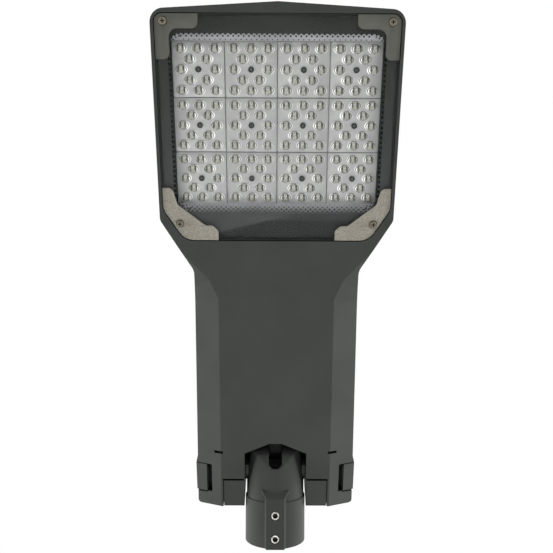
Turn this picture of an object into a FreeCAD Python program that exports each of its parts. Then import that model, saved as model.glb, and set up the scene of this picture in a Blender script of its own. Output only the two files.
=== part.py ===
import FreeCAD, Part
import math
import os

# LED street light head, in millimetres.
# Shapes are drawn in the housing's own frame: X across, +Y towards the pole, +Z up,
# with X = Y = 0 at the middle of the lens grid and Z = 0 on the flat lower face.
# On export everything is moved so that the origin is the centre of the pole socket's mouth.

Vector = FreeCAD.Vector

# Lens plates and their grid
PLATE_COLUMNS = 4
PLATE_ROWS = 3
PLATE_PITCH_X = 51.0
PLATE_PITCH_Y = 52.8
PLATE_SEAM = 0.7
PLATE_FLANGE = 1.5
PLATE_CORNER = 1.5
PLATE_BACK_RIM = 2.0
PLATE_BACK_POCKET = 0.9
LENS_LENGTH = 12.9
LENS_WIDTH = 9.3
LENS_HEIGHT = 4.7
LENS_STEP_X = 16.5
LENS_STEP_Y = 9.7
LENS_SHOULDER = 0.52
LENS_CROWN = 0.42

# LED board and its chips
BOARD_THICKNESS = 1.6
BOARD_MARGIN_SIDE = 1.5
BOARD_MARGIN_NOSE = 8.8
BOARD_MARGIN_REAR = 13.0
BOARD_GAP = 2.5
CHIP_SIDE = 3.0
CHIP_HEIGHT = 0.65

# Screws that hold plates and board
LENS_SCREW_R = 1.5
LENS_SCREW_HEAD_R = 2.9
LENS_SCREW_HEAD = 2.1
LENS_SCREW_LENGTH = 8.5
SCREW_HOLE_GAP = 0.1

# Glass, its printed border and its gasket
GLASS_THICKNESS = 4.0
GLASS_CORNER = 0.0
BORDER_THICKNESS = 0.3
BORDER_SIDE = 10.0
BORDER_NOSE = 16.3
BORDER_REAR = 26.3
WINDOW_CORNER = 13.0
GASKET_FLANGE = 1.2
GASKET_LIP = 1.2
GASKET_FREE_EDGE = 0.2
LEDGE_SIDE = 9.3
LEDGE_NOSE = 12.5
LEDGE_REAR = 19.8
CORNER_LEDGE = 2.1
CORNER_BOARD_GAP = 0.3

# Corner brackets and their screws
BRACKET_THICKNESS = 2.0
BRACKET_EDGE_GAP = 0.6
BRACKET_SINK = 0.5
FRONT_ARM = 40.5
FRONT_ARM_WIDTH = 13.2
FRONT_INNER_R = 8.0
FRONT_END_R = 6.0
FRONT_SCREW_IN_X = 8.8
FRONT_SCREW_IN_Y = 7.3
REAR_ARM_SIDE = 22.0
REAR_ARM_END = 35.0
REAR_ARM_WIDTH_SIDE = 8.0
REAR_ARM_WIDTH_END = 10.5
REAR_WEB_SIDE = 15.0
REAR_WEB_END = 22.0
REAR_WEB_DEPTH = 16.0
REAR_END_R = 3.0
REAR_WEB_R = 5.0
REAR_SCREW_IN_X = 17.1
REAR_SCREW_IN_Y = 18.0
BRACKET_SCREW_R = 2.0
BRACKET_SCREW_HEAD_R = 4.0
BRACKET_SCREW_HEAD = 2.4
BRACKET_SCREW_LENGTH = 14.0
GLASS_BOSS_R = 3.6

# Head of the housing
RIM = 3.2
NOSE_RIM = 3.2
NOSE_PEAK = 6.8
NOSE_CORNER_R = 13.0
RECESS_FRONT_R = 8.0
RECESS_REAR_R = 18.0
RECESS_CUT_X = 20.8
RECESS_CUT_Y = 32.5
SHOULDER_AFTER_RECESS = 11.0
SHOULDER_R = 10.0
DECK = 7.9
DECK_EDGE = 6.0
FIN_COUNT = 15
FIN_PITCH = 14.0
FIN_THICKNESS = 2.8
FIN_NOSE_RISE = 10.0
FIN_MID_RISE = 26.0
FIN_REAR_RISE = 30.0
FIN_NOSE_SLOPE = 8.0
FIN_MID_RUN = 60.0
FIN_NOSE_GAP = 13.0
FIN_EDGE_GAP = 10.0
FIN_REAR_GAP = 12.0

# Neck and gear tray of the housing
NECK_HALF = 86.0
NECK_RUN = 54.0
NECK_R = 16.0
REAR_HALF = 91.5
REAR_CORNER_R = 4.0
BODY_REAR = 440.0
TRAY_HEIGHT = 70.0
WALL = 4.0
SIDE_WALL = 3.5
SHELF = 5.0
OPENING_HALF = 64.0
OPENING_FRONT_GAP = 20.0
OPENING_R = 3.0

# Slanted lower edges of the tray
FLAT_HALF_FRONT = 61.0
FLAT_HALF_REAR = 63.5
SLANT_BEND_X = 9.0
SLANT_BEND_Y = 21.0
SLANT_FRONT_X = 30.0
SLANT_FRONT_Y = 44.0
SLANT_RISE = 0.296
SLOT_LENGTH = 10.0
SLOT_WIDTH = 3.2
SLOT_BEFORE_PIVOT = 34.0

# Gear cover, its seal and hinge
COVER_HEIGHT = 25.0
COVER_WALL = 2.5
COVER_GAP = 0.6
COVER_EDGE = 10.0
SEAL_WIDTH = 4.0
SEAL_HEIGHT = 2.0
SEAL_RIB = 2.4
SEAL_OFFSET = 2.5
HINGE_X = 60.0
HINGE_FORWARD = 6.0
HINGE_DROP = 2.0
HINGE_EYE_R = 5.4
HINGE_EAR = 12.0
HINGE_LUG = 7.0
HINGE_SIDE_GAP = 0.4
HINGE_PIN_R = 2.5
HINGE_EAR_ROOT = 9.0
HINGE_LUG_ROOT = 16.0

# Side latches
LATCH_Y = 403.0
LATCH_WIDTH = 36.0
LATCH_THICKNESS = 3.0
LATCH_PROUD = 1.5
LATCH_TOE = 12.5
LATCH_TOE_PROUD = 0.8
LATCH_SIDE_GAP = 0.5
LATCH_EYE_R = 4.0
LATCH_EYE_RISE = 8.0
LATCH_PIN_R = 2.0
LATCH_PIN_IN_BOSS = 4.0
FINGER_GAP = 5.0
FINGER_DEPTH = 11.0
CHANNEL_GAP = 0.8
LATCH_BOSS_WALL = 5.0

# Running and fitting clearances
PIN_GAP = 0.05
RUN_GAP = 0.1
SEAT_GAP = 0.3

# Spigot
TILT_REST = 20.0
PIVOT_Y = 398.8
PIVOT_Z = 19.7
MOUTH_REACH = 84.0
SLEEVE_R = 35.0
SLEEVE_LENGTH = 52.0
SOCKET_R = 30.5
SOCKET_DEPTH = 54.0
KNUCKLE_R = 33.6
KNUCKLE_WALL = 5.6
KNUCKLE_CORNER = 12.0
HOLLOW_REACH = 14.0
CABLE_SLOT = 15.0
CABLE_SLOT_END = 5.8
CABLE_SLOT_RISE = 6.0
RIB_WIDTH = 20.0
RIB_PROUD = 2.4
RIB_SIDE_SLOPE = 2.0
RIB_FLARE = 5.0
RIB_FLARE_LENGTH = 8.0
RIB_OVERRUN = 5.0
SET_SCREW_R = 5.0
SET_SCREW_SOCKET_R = 2.9
SET_SCREW_SOCKET = 4.0
SET_SCREW_FIRST = 11.6
SET_SCREW_PITCH = 26.5
PIVOT_BOSS_R = 14.0
PIVOT_TUBE_R = 11.0
PIVOT_BOLT_R = 6.0
PIVOT_HEAD_R = 9.0
PIVOT_HEAD = 7.5
PIVOT_WASHER_R = 11.0
PIVOT_WASHER = 1.6
PIVOT_SINK_R = 12.5
PIVOT_SINK = 10.5

# Yoke that holds the spigot, and its bay in the housing
CHEEK_GAP = 36.2
CHEEK = 24.1
BAY_SIDE_GAP = 0.7
BAY_ROOF = 6.0
BAY_BEFORE_PIVOT = 22.0
BAY_FLOOR_AFTER_PIVOT = 3.2
YOKE_FRONT_GAP = 1.5
YOKE_FLOOR_GAP = 2.5
YOKE_FACE_SINK = 0.3
YOKE_REAR_SINK = 0.6
YOKE_BRIDGE = 6.0
NOTCH_HALF = 35.5
NOTCH_FRONT = 44.0
NOTCH_SHOULDER = 31.0
NOTCH_PEAK_HALF = 7.0
YOKE_SCREW_R = 4.0
YOKE_SCREW_HEAD_R = 6.5
YOKE_SCREW_HEAD = 8.0
YOKE_SCREW_LENGTH = 24.0
YOKE_SCREW_INSET = 14.0

# Gear inside the tray
PLATE_STAND = 10.0
STAND_R = 5.0
GEAR_PLATE = 2.0
GEAR_PLATE_GAP = 3.0
GEAR_SCREW_R = 2.0
GEAR_SCREW_HEAD_R = 3.8
GEAR_SCREW_HEAD = 2.4
GEAR_SCREW_LENGTH = 9.0
GEAR_SCREW_INSET = 7.0
DRIVER_LENGTH = 120.0
DRIVER_END_GAP = 13.4
DRIVER_WIDTH = 62.0
DRIVER_HEIGHT = 36.0
DRIVER_EDGE = 4.0
DRIVER_FOOT = 9.0
DRIVER_FOOT_HEIGHT = 3.0
DRIVER_X = -29.0
SURGE_LENGTH = 52.0
SURGE_WIDTH = 34.0
SURGE_HEIGHT = 26.0
SURGE_EDGE = 3.0
TERMINAL_WAYS = 3
TERMINAL_PITCH = 11.0
TERMINAL_DEPTH = 20.0
TERMINAL_HEIGHT = 17.0
TERMINAL_STEP = 5.0
TERMINAL_SCREW_R = 2.6
TERMINAL_SCREW = 1.4
GEAR_COLUMN_X = 38.0
GEAR_ROW_GAP = 8.0
CLAMP_LENGTH = 36.0
CLAMP_WIDTH = 11.0
CLAMP_HEIGHT = 10.0
CLAMP_CABLE_R = 5.5
GROMMET_R = 8.0
GROMMET_FLANGE_R = 11.0
GROMMET_FLANGE = 2.5
GROMMET_CABLE_R = 4.5
GROMMET_ABOVE_FLOOR = 32.0
VENT_R = 6.0
VENT_CAP_R = 9.0
VENT_CAP = 4.0
VENT_X = 24.0
LEAD_HOLE_R = 4.0
LEAD_R = 2.4
LEAD_GROMMET_R = 5.6
LEAD_GROMMET_FLANGE = 2.0

# Heights that follow from the stack between the lower face and the deck
BRACKET_FACE_Z = BRACKET_SINK
GLASS_Z = BRACKET_FACE_Z + BRACKET_THICKNESS
BORDER_Z = GLASS_Z + GLASS_THICKNESS
GASKET_Z = BORDER_Z + BORDER_THICKNESS
LEDGE_Z = GASKET_Z + GASKET_FLANGE
LENS_TIP_GAP = 4.3
FLANGE_Z = LEDGE_Z + LENS_TIP_GAP + LENS_HEIGHT
BOARD_Z = FLANGE_Z + PLATE_FLANGE
DECK_Z = BOARD_Z + BOARD_THICKNESS
DECK_TOP = DECK_Z + DECK

# Plan sizes that follow from the lens grid outwards
GRID_HALF_X = PLATE_COLUMNS * PLATE_PITCH_X / 2
GRID_HALF_Y = PLATE_ROWS * PLATE_PITCH_Y / 2
BOARD_HALF = GRID_HALF_X + BOARD_MARGIN_SIDE
BOARD_NOSE = -GRID_HALF_Y - BOARD_MARGIN_NOSE
BOARD_REAR = GRID_HALF_Y + BOARD_MARGIN_REAR
CHAMBER_HALF = BOARD_HALF + BOARD_GAP
CHAMBER_NOSE = BOARD_NOSE - BOARD_GAP
CHAMBER_REAR = BOARD_REAR + BOARD_GAP
RECESS_HALF = CHAMBER_HALF + LEDGE_SIDE
RECESS_NOSE = CHAMBER_NOSE - LEDGE_NOSE
RECESS_REAR = CHAMBER_REAR + LEDGE_REAR
GLASS_EDGE = GASKET_LIP + GASKET_FREE_EDGE
GLASS_HALF = RECESS_HALF - GLASS_EDGE
GLASS_NOSE = RECESS_NOSE + GLASS_EDGE
GLASS_REAR = RECESS_REAR - GLASS_EDGE
HEAD_HALF = RECESS_HALF + RIM
NOSE_CORNER = RECESS_NOSE - NOSE_RIM
NOSE_TIP = NOSE_CORNER - NOSE_PEAK
SHOULDER_Y = RECESS_REAR - RECESS_CUT_Y + SHOULDER_AFTER_RECESS
NECK_Y = SHOULDER_Y + NECK_RUN

# Screws beside the glass
FRONT_SCREW = (RECESS_HALF - FRONT_SCREW_IN_X, RECESS_NOSE + FRONT_SCREW_IN_Y)
REAR_SCREW = (RECESS_HALF - REAR_SCREW_IN_X, RECESS_REAR - REAR_SCREW_IN_Y)
GLASS_CORNER_GAP = GLASS_BOSS_R + GASKET_FREE_EDGE + GASKET_LIP
CHAMBER_CORNER_GAP = GLASS_CORNER_GAP + CORNER_LEDGE
BOARD_CORNER_GAP = CHAMBER_CORNER_GAP + CORNER_BOARD_GAP

# Spigot bay, pocket and tray opening
BAY_HALF = CHEEK_GAP + CHEEK + BAY_SIDE_GAP
BAY_FRONT = PIVOT_Y - BAY_BEFORE_PIVOT
BAY_FLOOR_FRONT = PIVOT_Y + BAY_FLOOR_AFTER_PIVOT
NOTCH_TIP = PIVOT_Y - NOTCH_FRONT
POCKET_WALL_FRONT = NOTCH_TIP - WALL
BAY_CEILING = TRAY_HEIGHT - BAY_ROOF
OPENING_FRONT = POCKET_WALL_FRONT - 2 * (GEAR_PLATE_GAP + DRIVER_END_GAP) - DRIVER_LENGTH
TRAY_FRONT = OPENING_FRONT - OPENING_FRONT_GAP
OPENING_REAR = POCKET_WALL_FRONT
COVER_Z = TRAY_HEIGHT + COVER_GAP
COVER_TOP = TRAY_HEIGHT + COVER_HEIGHT
HINGE_Y = TRAY_FRONT - HINGE_FORWARD
HINGE_Z = TRAY_HEIGHT - HINGE_DROP
LATCH_PIN_Z = TRAY_HEIGHT + LATCH_EYE_RISE
CREASE_R = 1.0
MARGIN = 1.0
SMALL_SIDES = 8
TINY_SIDES = 6
OVER = 500.0


def place(shape, tilt=0.0, at=None):
    """Turns a copy of a shape about the X axis and moves it."""
    moved = shape.copy()
    rotation = FreeCAD.Rotation(Vector(1, 0, 0), tilt)
    moved.Placement = FreeCAD.Placement(at or Vector(), rotation).multiply(moved.Placement)
    return moved


def box(x0, x1, y0, y1, z0, z1):
    """Block between two corners."""
    return Part.makeBox(x1 - x0, y1 - y0, z1 - z0, Vector(x0, y0, z0))


def rod(radius, start, end):
    """Round bar from one point to another."""
    along = end - start
    return Part.makeCylinder(radius, along.Length, start, along)


def bar(radius, start, end, sides=SMALL_SIDES):
    """Prism with flat sides, for small screws, pins and their holes; its corners are on the radius."""
    along = end - start
    turns = [2 * math.pi * (i + 0.5) / sides for i in range(sides)]
    ring = [Vector(radius * math.cos(turn), radius * math.sin(turn), 0) for turn in turns]
    prism = Part.Face(Part.makePolygon(ring + ring[:1])).extrude(Vector(0, 0, along.Length))
    prism.Placement = FreeCAD.Placement(start, FreeCAD.Rotation(Vector(0, 0, 1), along))
    return prism


def solid_of(rings):
    """Solid whose flat faces are given as rings of points."""
    shell = Part.makeShell([Part.Face(Part.makePolygon(ring + ring[:1])) for ring in rings])
    solid = Part.makeSolid(shell)
    return solid if solid.Volume > 0 else solid.reversed()


def frustum(lower, upper):
    """Solid between two rings of points whose matching sides are parallel."""
    count = len(lower)
    sides = [[lower[i], lower[(i + 1) % count], upper[(i + 1) % count], upper[i]] for i in range(count)]
    return solid_of([lower, upper] + sides)


def flat_slab(corners, z0, z1):
    """Slab whose rounded corners are cut off flat."""
    return frustum(flat_ring(corners, z0), flat_ring(corners, z1))


def fuse(shapes):
    """One solid from several that meet."""
    return shapes[0].multiFuse(shapes[1:]).removeSplitter()


def cut(shape, tools):
    """A solid less all the tools."""
    return shape.cut(tools)


def mirror_x(shape):
    """Mirror image across the plane X = 0."""
    return shape.mirror(Vector(), Vector(1, 0, 0))


def both_sides(right):
    """Closes a run of corners down the right side with its mirror image."""
    left = [(-x, y, r) for x, y, r in reversed(right) if x]
    return right + left


def rounded_wire(corners, z):
    """Closed outline through (x, y, radius) corners at one height."""
    points = [Vector(x, y, z) for x, y, r in corners]
    edges = []
    ends = []
    for i, here in enumerate(points):
        radius = corners[i][2]
        to_last = (points[i - 1] - here).normalize()
        to_next = (points[(i + 1) % len(points)] - here).normalize()
        if not radius:
            ends.append((here, here))
            continue
        half = to_last.getAngle(to_next) / 2
        inwards = (to_last + to_next).normalize()
        start = here + to_last * (radius / math.tan(half))
        finish = here + to_next * (radius / math.tan(half))
        middle = here + inwards * (radius / math.sin(half) - radius)
        edges.append(Part.Arc(start, middle, finish).toShape())
        ends.append((start, finish))
    for i, (start, finish) in enumerate(ends):
        following = ends[(i + 1) % len(ends)][0]
        edges.append(Part.makeLine(finish, following))
    return Part.Wire(Part.__sortEdges__(edges))


def slab(corners, z0, z1):
    """Plate with a rounded outline between two heights."""
    face = Part.Face(rounded_wire(corners, z0))
    return face.extrude(Vector(0, 0, z1 - z0))


def inset_slab(corners, inset, z0, z1):
    """The same plate with its outline drawn in."""
    face = Part.Face(rounded_wire(corners, z0)).makeOffset2D(-inset)
    return face.extrude(Vector(0, 0, z1 - z0))


def drawn_in(corners, inset):
    """Corners of the same outline with every side moved inwards."""
    count = len(corners)
    lines = []
    for i in range(count):
        x0, y0, r0 = corners[i]
        x1, y1, r1 = corners[(i + 1) % count]
        along = Vector(x1 - x0, y1 - y0, 0).normalize()
        inwards = Vector(-along.y, along.x, 0)
        lines.append((Vector(x0, y0, 0) + inwards * inset, along))
    moved = []
    for i in range(count):
        (p, u), (q, v) = lines[i - 1], lines[i]
        step = (q - p).cross(v).z / u.cross(v).z
        corner = p + u * step
        radius = corners[i][2]
        moved.append((corner.x, corner.y, max(radius - inset, CREASE_R) if radius else 0.0))
    return moved


def bevelled_slab(corners, edge, z0, z1):
    """Plate whose upper edge is cut off at 45 degrees all round."""
    low = slab(corners, z0, z1 - edge)
    wires = [rounded_wire(corners, z1 - edge), rounded_wire(drawn_in(corners, edge), z1)]
    return low.fuse(Part.makeLoft(wires, True, True)).removeSplitter()


def flat_ring(corners, z):
    """Points of an outline whose rounded corners are cut off flat."""
    ring = []
    for i, (x, y, radius) in enumerate(corners):
        here = Vector(x, y, z)
        for other in (corners[i - 1], corners[(i + 1) % len(corners)]):
            side = (Vector(other[0], other[1], z) - here).normalize()
            ring.append(here + side * radius)
    return ring


def bevelled_box(corners, edge, z0, z1):
    """Block with flat corners and its upper edge cut off at 45 degrees."""
    middle = z1 - edge
    low = frustum(flat_ring(corners, z0), flat_ring(corners, middle))
    inner = [(x, y, r) for (x, y, old), r in zip(drawn_in(corners, edge), [c[2] for c in corners])]
    high = frustum(flat_ring(corners, middle), flat_ring(inner, z1))
    return low.fuse(high).removeSplitter()


def side_plate(points, x0, x1):
    """Plate with an outline of (y, z) points, between two X values."""
    wire = Part.makePolygon([Vector(x0, y, z) for y, z in points + points[:1]])
    return Part.Face(wire).extrude(Vector(x1 - x0, 0, 0))


def cross_plate(points, y0, y1):
    """Plate with an outline of (x, z) points, between two Y values."""
    wire = Part.makePolygon([Vector(x, y0, z) for x, z in points + points[:1]])
    return Part.Face(wire).extrude(Vector(0, y1 - y0, 0))


def top_edges(shape, z):
    """Edges of a shape that lie at one height."""
    return [edge for edge in shape.Edges
            if abs(edge.BoundBox.ZMin - z) < 1e-6 and abs(edge.BoundBox.ZMax - z) < 1e-6]


def outer_corners():
    """Plan outline of the whole housing."""
    return both_sides([
        (0.0, NOSE_TIP, 0.0),
        (HEAD_HALF, NOSE_CORNER, NOSE_CORNER_R),
        (HEAD_HALF, SHOULDER_Y, SHOULDER_R),
        (NECK_HALF, NECK_Y, NECK_R),
        (REAR_HALF, BODY_REAR, REAR_CORNER_R),
    ])


def side_x(y):
    """Half width of the tray's slightly flared side at a given Y."""
    return NECK_HALF + (REAR_HALF - NECK_HALF) * (y - NECK_Y) / (BODY_REAR - NECK_Y)


def tray_corners():
    """Plan outline of the deep rear part that the gear cover closes."""
    front = side_x(TRAY_FRONT)
    return both_sides([
        (front, TRAY_FRONT, REAR_CORNER_R),
        (REAR_HALF, BODY_REAR, REAR_CORNER_R),
    ])


def recess_corners():
    """Outline of the recess that holds glass, gasket and brackets."""
    return both_sides([
        (RECESS_HALF, RECESS_NOSE, RECESS_FRONT_R),
        (RECESS_HALF, RECESS_REAR - RECESS_CUT_Y, RECESS_REAR_R),
        (RECESS_HALF - RECESS_CUT_X, RECESS_REAR, RECESS_REAR_R),
    ])


def cut_corner_outline(half, nose, rear, gap, radius):
    """Outline with its corners cut off at a distance from the bracket screws."""
    slant = math.hypot(RECESS_CUT_X, RECESS_CUT_Y)
    nx = RECESS_CUT_Y / slant
    ny = RECESS_CUT_X / slant
    fx, fy = FRONT_SCREW
    rx, ry = REAR_SCREW
    reach = gap * math.sqrt(2)
    front_x = fx + nose - fy - reach
    rear_x = rx - (gap + ny * (rear - ry)) / nx
    front = [(half, nose, radius)]
    if front_x < half:
        front = [(front_x, nose, radius), (half, fy + half - fx + reach, radius)]
    back = [(half, rear, radius)]
    if rear_x < half:
        back = [(half, ry - (gap + nx * (half - rx)) / ny, radius), (rear_x, rear, radius)]
    return both_sides(front + back)


def glass_corners(grow=0.0):
    """Outline of the glass, or of what stands round it."""
    return cut_corner_outline(GLASS_HALF + grow, GLASS_NOSE - grow, GLASS_REAR + grow,
                              GLASS_CORNER_GAP - grow, GLASS_CORNER + grow)


def chamber_corners():
    """Outline of the space behind the glass."""
    return cut_corner_outline(CHAMBER_HALF, CHAMBER_NOSE, CHAMBER_REAR,
                              CHAMBER_CORNER_GAP, GLASS_CORNER)


def board_corners():
    """Outline of the LED board."""
    return cut_corner_outline(BOARD_HALF, BOARD_NOSE, BOARD_REAR, BOARD_CORNER_GAP, 0.0)


def plate_centres():
    """Middles of the lens plates, row by row from the nose."""
    return [((column - (PLATE_COLUMNS - 1) / 2) * PLATE_PITCH_X,
             (row - (PLATE_ROWS - 1) / 2) * PLATE_PITCH_Y)
            for row in range(PLATE_ROWS) for column in range(PLATE_COLUMNS)]


def lens_offsets():
    """Places of the twelve lenses on a plate: rows of 3, 2, 2, 2 and 3."""
    rows = [(-2, (-1, 0, 1)), (-1, (-0.5, 0.5)), (0, (-1, 1)), (1, (-0.5, 0.5)), (2, (-1, 0, 1))]
    return [(across * LENS_STEP_X, along * LENS_STEP_Y)
            for along, steps in rows for across in steps]


def screw_points(pair):
    """A place and its mirror image."""
    x, y = pair
    return [(x, y), (-x, y)]


def slant_tool(rise):
    """What the slanted lower edge takes off the tray's right side, raised by a wall."""
    line = [
        (FLAT_HALF_REAR, BODY_REAR),
        (FLAT_HALF_FRONT, TRAY_FRONT),
        (FLAT_HALF_FRONT + SLANT_BEND_X, TRAY_FRONT - SLANT_BEND_Y),
        (FLAT_HALF_FRONT + SLANT_FRONT_X, TRAY_FRONT - SLANT_FRONT_Y),
    ]
    wedges = []
    for (x0, y0), (x1, y1) in zip(line, line[1:]):
        along = Vector(x1 - x0, y1 - y0, 0).normalize()
        outwards = Vector(-along.y, along.x, 0)
        start = Vector(x0, y0, rise) - along * OVER
        low = Vector(0, 0, -OVER)
        high = Vector(0, 0, OVER * SLANT_RISE)
        ring = [start, start + outwards * OVER + high, start + outwards * OVER + low, start + low]
        wedges.append(Part.Face(Part.makePolygon(ring + ring[:1])).extrude(along * 4 * OVER))
    return wedges[0].common(wedges[1]).common(wedges[2])


def slant_tools(rise=0.0):
    """The same for both sides."""
    right = slant_tool(rise)
    return [right, mirror_x(right)]


def spigot_pocket():
    """Space round the knuckle and the yoke, open below and behind."""
    notch = slab(both_sides([
        (NOTCH_PEAK_HALF, NOTCH_TIP, 0.0),
        (NOTCH_HALF, PIVOT_Y - NOTCH_SHOULDER, 0.0),
        (NOTCH_HALF, BODY_REAR + MARGIN, 0.0),
    ]), -MARGIN, WALL)
    knuckle_room = box(-NOTCH_HALF, NOTCH_HALF, NOTCH_TIP, BAY_FRONT + MARGIN, WALL, BAY_CEILING)
    arms_room = box(-BAY_HALF, BAY_HALF, BAY_FRONT, BODY_REAR + MARGIN, WALL, BAY_CEILING)
    foot_room = box(-BAY_HALF, BAY_HALF, BAY_FLOOR_FRONT, BODY_REAR + MARGIN, -MARGIN, WALL)
    return [notch, knuckle_room, arms_room, foot_room]


def pocket_walls():
    """Walls that part the spigot's pocket from the sealed tray."""
    narrow = box(-NOTCH_HALF - WALL, NOTCH_HALF + WALL, POCKET_WALL_FRONT, BAY_FRONT,
                 0, TRAY_HEIGHT)
    wide = box(-BAY_HALF - WALL, BAY_HALF + WALL, BAY_FRONT - WALL, BODY_REAR, 0, TRAY_HEIGHT)
    return [narrow, wide]


def latch_span():
    """First and last Y of a latch."""
    return LATCH_Y - LATCH_WIDTH / 2, LATCH_Y + LATCH_WIDTH / 2


def latch_outer_x():
    """Outer face of a closed latch."""
    return side_x(LATCH_Y) + LATCH_PROUD


def latch_channel():
    """Room for a latch, its finger gap and its path as the cover lifts, right side."""
    first, last = latch_span()
    toe_x = latch_outer_x() - LATCH_TOE - CHANNEL_GAP
    reach = math.hypot(last - HINGE_Y, HINGE_Z) + CHANNEL_GAP
    path = Part.makeCylinder(reach, OVER, Vector(toe_x, HINGE_Y, HINGE_Z), Vector(1, 0, 0))
    channel = box(toe_x, OVER, first - LATCH_SIDE_GAP, BODY_REAR, -MARGIN, OVER).common(path)
    fingers = box(toe_x - FINGER_GAP, toe_x + MARGIN, first - LATCH_SIDE_GAP,
                  last + LATCH_SIDE_GAP, -MARGIN, FINGER_DEPTH)
    return [channel, fingers]


def latch_pad():
    """Thick wall of the tray round a latch's channel, right side."""
    first, last = latch_span()
    toe_x = latch_outer_x() - LATCH_TOE - CHANNEL_GAP
    inner = toe_x - SIDE_WALL
    pad = box(inner, OVER, first - WALL, BODY_REAR, 0, TRAY_HEIGHT)
    finger_wall = box(inner - FINGER_GAP, inner + MARGIN, first - WALL, last + WALL,
                      0, FINGER_DEPTH + SIDE_WALL)
    return [pad, finger_wall]


def tray_cavity():
    """Hollow of the tray and of the neck below the deck."""
    full = inset_slab(outer_corners(), SIDE_WALL, WALL, TRAY_HEIGHT - SHELF)
    in_front = box(-OVER, OVER, NOSE_TIP, TRAY_FRONT + SIDE_WALL, DECK_TOP - WALL, OVER)
    head = box(-OVER, OVER, NOSE_TIP - MARGIN, RECESS_REAR + WALL, 0, OVER)
    keep = [in_front, head] + pocket_walls() + slant_tools(WALL)
    for piece in latch_pad():
        keep += [piece, mirror_x(piece)]
    return cut(full, keep)


def opening_corners(grow=0.0):
    """Outline of the tray's opening, and of the seal round it."""
    radius = OPENING_R + grow
    return both_sides([
        (OPENING_HALF + grow, OPENING_FRONT - grow, radius),
        (OPENING_HALF + grow, OPENING_REAR + grow, radius),
    ])


def fin(x):
    """One cooling fin, ending short of the shoulder at its own place."""
    start = NOSE_TIP + FIN_NOSE_GAP + NOSE_PEAK
    shoulder_slope = NECK_RUN / (HEAD_HALF - NECK_HALF)
    beside_shoulder = SHOULDER_Y + (HEAD_HALF - abs(x) - FIN_EDGE_GAP) * shoulder_slope
    finish = min(TRAY_FRONT - FIN_REAR_GAP, beside_shoulder)
    profile = [
        (start, DECK_TOP - MARGIN),
        (start, DECK_TOP + FIN_NOSE_RISE - FIN_NOSE_SLOPE),
        (start + FIN_NOSE_SLOPE, DECK_TOP + FIN_NOSE_RISE),
        (start + FIN_MID_RUN, DECK_TOP + FIN_MID_RISE),
        (finish - FIN_NOSE_SLOPE, DECK_TOP + FIN_REAR_RISE),
        (finish, DECK_TOP - MARGIN),
    ]
    return side_plate(profile, x - FIN_THICKNESS / 2, x + FIN_THICKNESS / 2)


def fins():
    """Row of cooling fins over the LED board."""
    return [fin((i - (FIN_COUNT - 1) / 2) * FIN_PITCH) for i in range(FIN_COUNT)]


def eye_plate(root, x0, x1):
    """Rounded hinge eye with a root of (y, z) points behind it."""
    eye = bar(HINGE_EYE_R, Vector(x0, HINGE_Y, HINGE_Z), Vector(x1, HINGE_Y, HINGE_Z))
    return eye.fuse(side_plate(root, x0, x1))


def hinge_lugs():
    """Pairs of lugs on the tray's front wall, each side of the cover's ears."""
    root = [
        (HINGE_Y - HINGE_EYE_R, HINGE_Z),
        (HINGE_Y, HINGE_Z + HINGE_EYE_R),
        (HINGE_Y, HINGE_Z),
        (TRAY_FRONT + MARGIN, HINGE_Z),
        (TRAY_FRONT + MARGIN, HINGE_Z - HINGE_LUG_ROOT),
        (TRAY_FRONT, HINGE_Z - HINGE_LUG_ROOT),
    ]
    inner = HINGE_EAR / 2 + HINGE_SIDE_GAP
    lugs = []
    for side in (-1, 1):
        for out in (-1, 1):
            ends = sorted((side * HINGE_X + out * inner,
                           side * HINGE_X + out * (inner + HINGE_LUG)))
            lugs.append(eye_plate(root, ends[0], ends[1]))
    return lugs


def hinge_pin_span(x):
    """Ends of the hinge pin at one X."""
    half = HINGE_EAR / 2 + HINGE_SIDE_GAP + HINGE_LUG
    return Vector(x - half, HINGE_Y, HINGE_Z), Vector(x + half, HINGE_Y, HINGE_Z)


def gear_plate_span():
    """Half width, first and last Y of the gear plate."""
    return (OPENING_HALF - GEAR_PLATE_GAP, OPENING_FRONT + GEAR_PLATE_GAP,
            POCKET_WALL_FRONT - GEAR_PLATE_GAP)


def gear_screw_points():
    """Corners of the gear plate where it is screwed down."""
    half, first, last = gear_plate_span()
    return [(x, y) for x in (-half + GEAR_SCREW_INSET, half - GEAR_SCREW_INSET)
            for y in (first + GEAR_SCREW_INSET, last - GEAR_SCREW_INSET)]


def yoke_screw_points():
    """Places of the screws that hang the yoke under the bay's ceiling."""
    x = CHEEK_GAP + CHEEK / 2
    ys = (BAY_FRONT + YOKE_SCREW_INSET, BODY_REAR - YOKE_SCREW_INSET)
    return [(side * x, y) for side in (-1, 1) for y in ys]


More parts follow.
